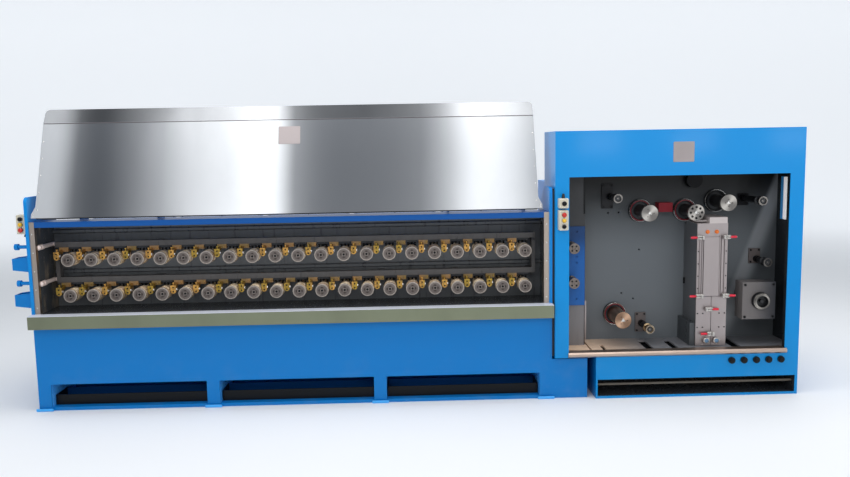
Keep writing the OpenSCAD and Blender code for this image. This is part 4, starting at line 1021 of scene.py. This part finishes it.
GEAR_LOW, GEAR_HIGH = millimetres("gear_housing")
DRIVE_LOW, DRIVE_HIGH = millimetres("drive_housing")
COVER_N = 5
COVER_T = 8
COVER_GAP = 40
BOLT_IN = 18
step = (GEAR_HIGH[0] - GEAR_LOW[0] - COVER_GAP) / COVER_N
cover_left = GEAR_LOW[0] + COVER_GAP + step * np.arange(COVER_N)
bolt_x = np.stack([cover_left + BOLT_IN, cover_left + (step - COVER_GAP) / 2,
                   cover_left + step - COVER_GAP - BOLT_IN], -1).ravel()
back_bolts = [(x, GEAR_HIGH[1] + COVER_T, z) for x in bolt_x for z in (180, 500, 880, 1192)]
top_bolts = [(x, FRONT_Y + y, GEAR_HIGH[2] + COVER_T) for x in bolt_x for y in (702, 1068)]
cover_bolt = hex_bolt(7, 5)
shape = together(scatter(facing(cover_bolt, "+y"), back_bolts), scatter(cover_bolt, top_bolts))
piece("cover_bolts", shape, *STEEL)
door = (DRIVE_HIGH[0] - DRIVE_LOW[0] - 3 * COVER_GAP) / 2
door_left = [DRIVE_LOW[0] + COVER_GAP, DRIVE_LOW[0] + 2 * COVER_GAP + door]
door_bolts = [(x, DRIVE_HIGH[1] + COVER_T, z) for a in door_left for x in (a + BOLT_IN, a + door - BOLT_IN)
              for z in (180, 600, 1020, 1440)]
hardware("drive_door_bolts", cover_bolt, door_bolts, *STEEL, way="+y")
side_screws = [(CAB_HIGH[0] - 0.2, FRONT_Y + y, z) for y in (58, 382) for z in (390, 880, 1370, 1870)]
flat_screw = lathe([(7, -1.5), (7, 0.1), (3, 0.19)], 16)
hardware("side_screws", flat_screw, side_screws, *STEEL, way="+x")

# %% [markdown]
# The studio is plain: a pale floor and backdrop that glow a little far away, a large soft lamp
# overhead like a hall's roof lights, and a fill from the front. The world is brighter to the camera
# than to the metal, so the background stays white without flooding the object with light.

# %% Studio
def sweep(name, front, back, high, bend, half, material):
    """A floor that turns up into a wall: its section is a line, a quarter circle and a line."""
    t = np.linspace(0, np.pi / 2, 24)
    turn = np.stack([back - bend + bend * np.sin(t), bend - bend * np.cos(t)], -1)
    section = np.concatenate([[(front, 0)], turn, [(back, high)]])
    points = np.concatenate([np.column_stack([np.full(len(section), x), section]) for x in (-half, half)])
    a = np.arange(len(section) - 1)
    mesh = bpy.data.meshes.new(name)
    mesh.from_pydata(points, [], np.stack([a, a + len(section), a + len(section) + 1, a + 1], -1).tolist())
    mesh.shade_smooth()
    mesh.materials.append(material)
    wall = bpy.data.objects.new(name, mesh)
    bpy.context.scene.collection.objects.link(wall)


pale = Finish("pale_sweep", roughness=0.7, emission_strength=1.0)
pale.set("Base Color", pale.mix(pale.noise(2, 3) * 0.12, (0.86, 0.87, 0.88), (0.80, 0.81, 0.82)))
east, north = pale.axis("X"), pale.axis("Y")
far = (east * east + north * north).root().step(6.0, 16.0)
pale.set("Emission Color", pale.mix(far, "#000000", (0.34, 0.35, 0.36)))
sweep("pale_sweep", -24, 15, 11, 5, 26, pale.material)


def soft_lamp(name, place, aim, size, power, colour=(1, 1, 1)):
    """An area lamp, whose own +Z points away from what it is aimed at."""
    lamp = bpy.data.lights.new(name, "AREA")
    lamp.shape = "RECTANGLE"
    lamp.size, lamp.size_y = size
    lamp.energy = power
    lamp.color = colour
    holder = bpy.data.objects.new(name, lamp)
    turn = (Vector(place) - Vector(aim)).to_track_quat("Z", "Y").to_matrix()
    holder.matrix_world = Matrix.Translation(place) @ turn.to_4x4()
    bpy.context.scene.collection.objects.link(holder)


soft_lamp("roof_lamp", (0.2, -1.0, 5.4), (0, 0.2, 0.6), (8.5, 3.6), 250)
soft_lamp("front_fill", (-1.0, -7.5, 4.2), (0, 0, 1.0), (7.0, 2.6), 145)
soft_lamp("right_window", (6.4, -1.8, 2.6), (1.0, 0.2, 1.2), (2.6, 2.4), 60, (1.0, 0.98, 0.95))
for k, across in enumerate((4.4, 6.6, 8.9)):
    soft_lamp(f"hall_window_{k}", (across, -13, 1.88), (across * 0.3, 0, 1.87), (0.9, 0.5), 30)


def studio_world():
    """Pale grey light from all round; white where the camera looks straight at it."""
    world = bpy.data.worlds.new("studio")
    world.use_nodes = True
    bpy.context.scene.world = world
    tree = world.node_tree
    tree.nodes.clear()
    kinds = ("Background", "Background", "LightPath", "MixShader", "OutputWorld")
    lit, seen, path, mix, out = (tree.nodes.new("ShaderNode" + kind) for kind in kinds)
    for node, colour, strength in ((lit, (0.80, 0.85, 0.92), 0.55), (seen, (0.93, 0.94, 0.95), 1.0)):
        plug(tree, node.inputs[0], colour)
        plug(tree, node.inputs[1], strength)
    tree.links.new(path.outputs["Is Camera Ray"], mix.inputs[0])
    tree.links.new(lit.outputs[0], mix.inputs[1])
    tree.links.new(seen.outputs[0], mix.inputs[2])
    tree.links.new(mix.outputs[0], out.inputs[0])


studio_world()
print("lamps:", len(bpy.data.lights))
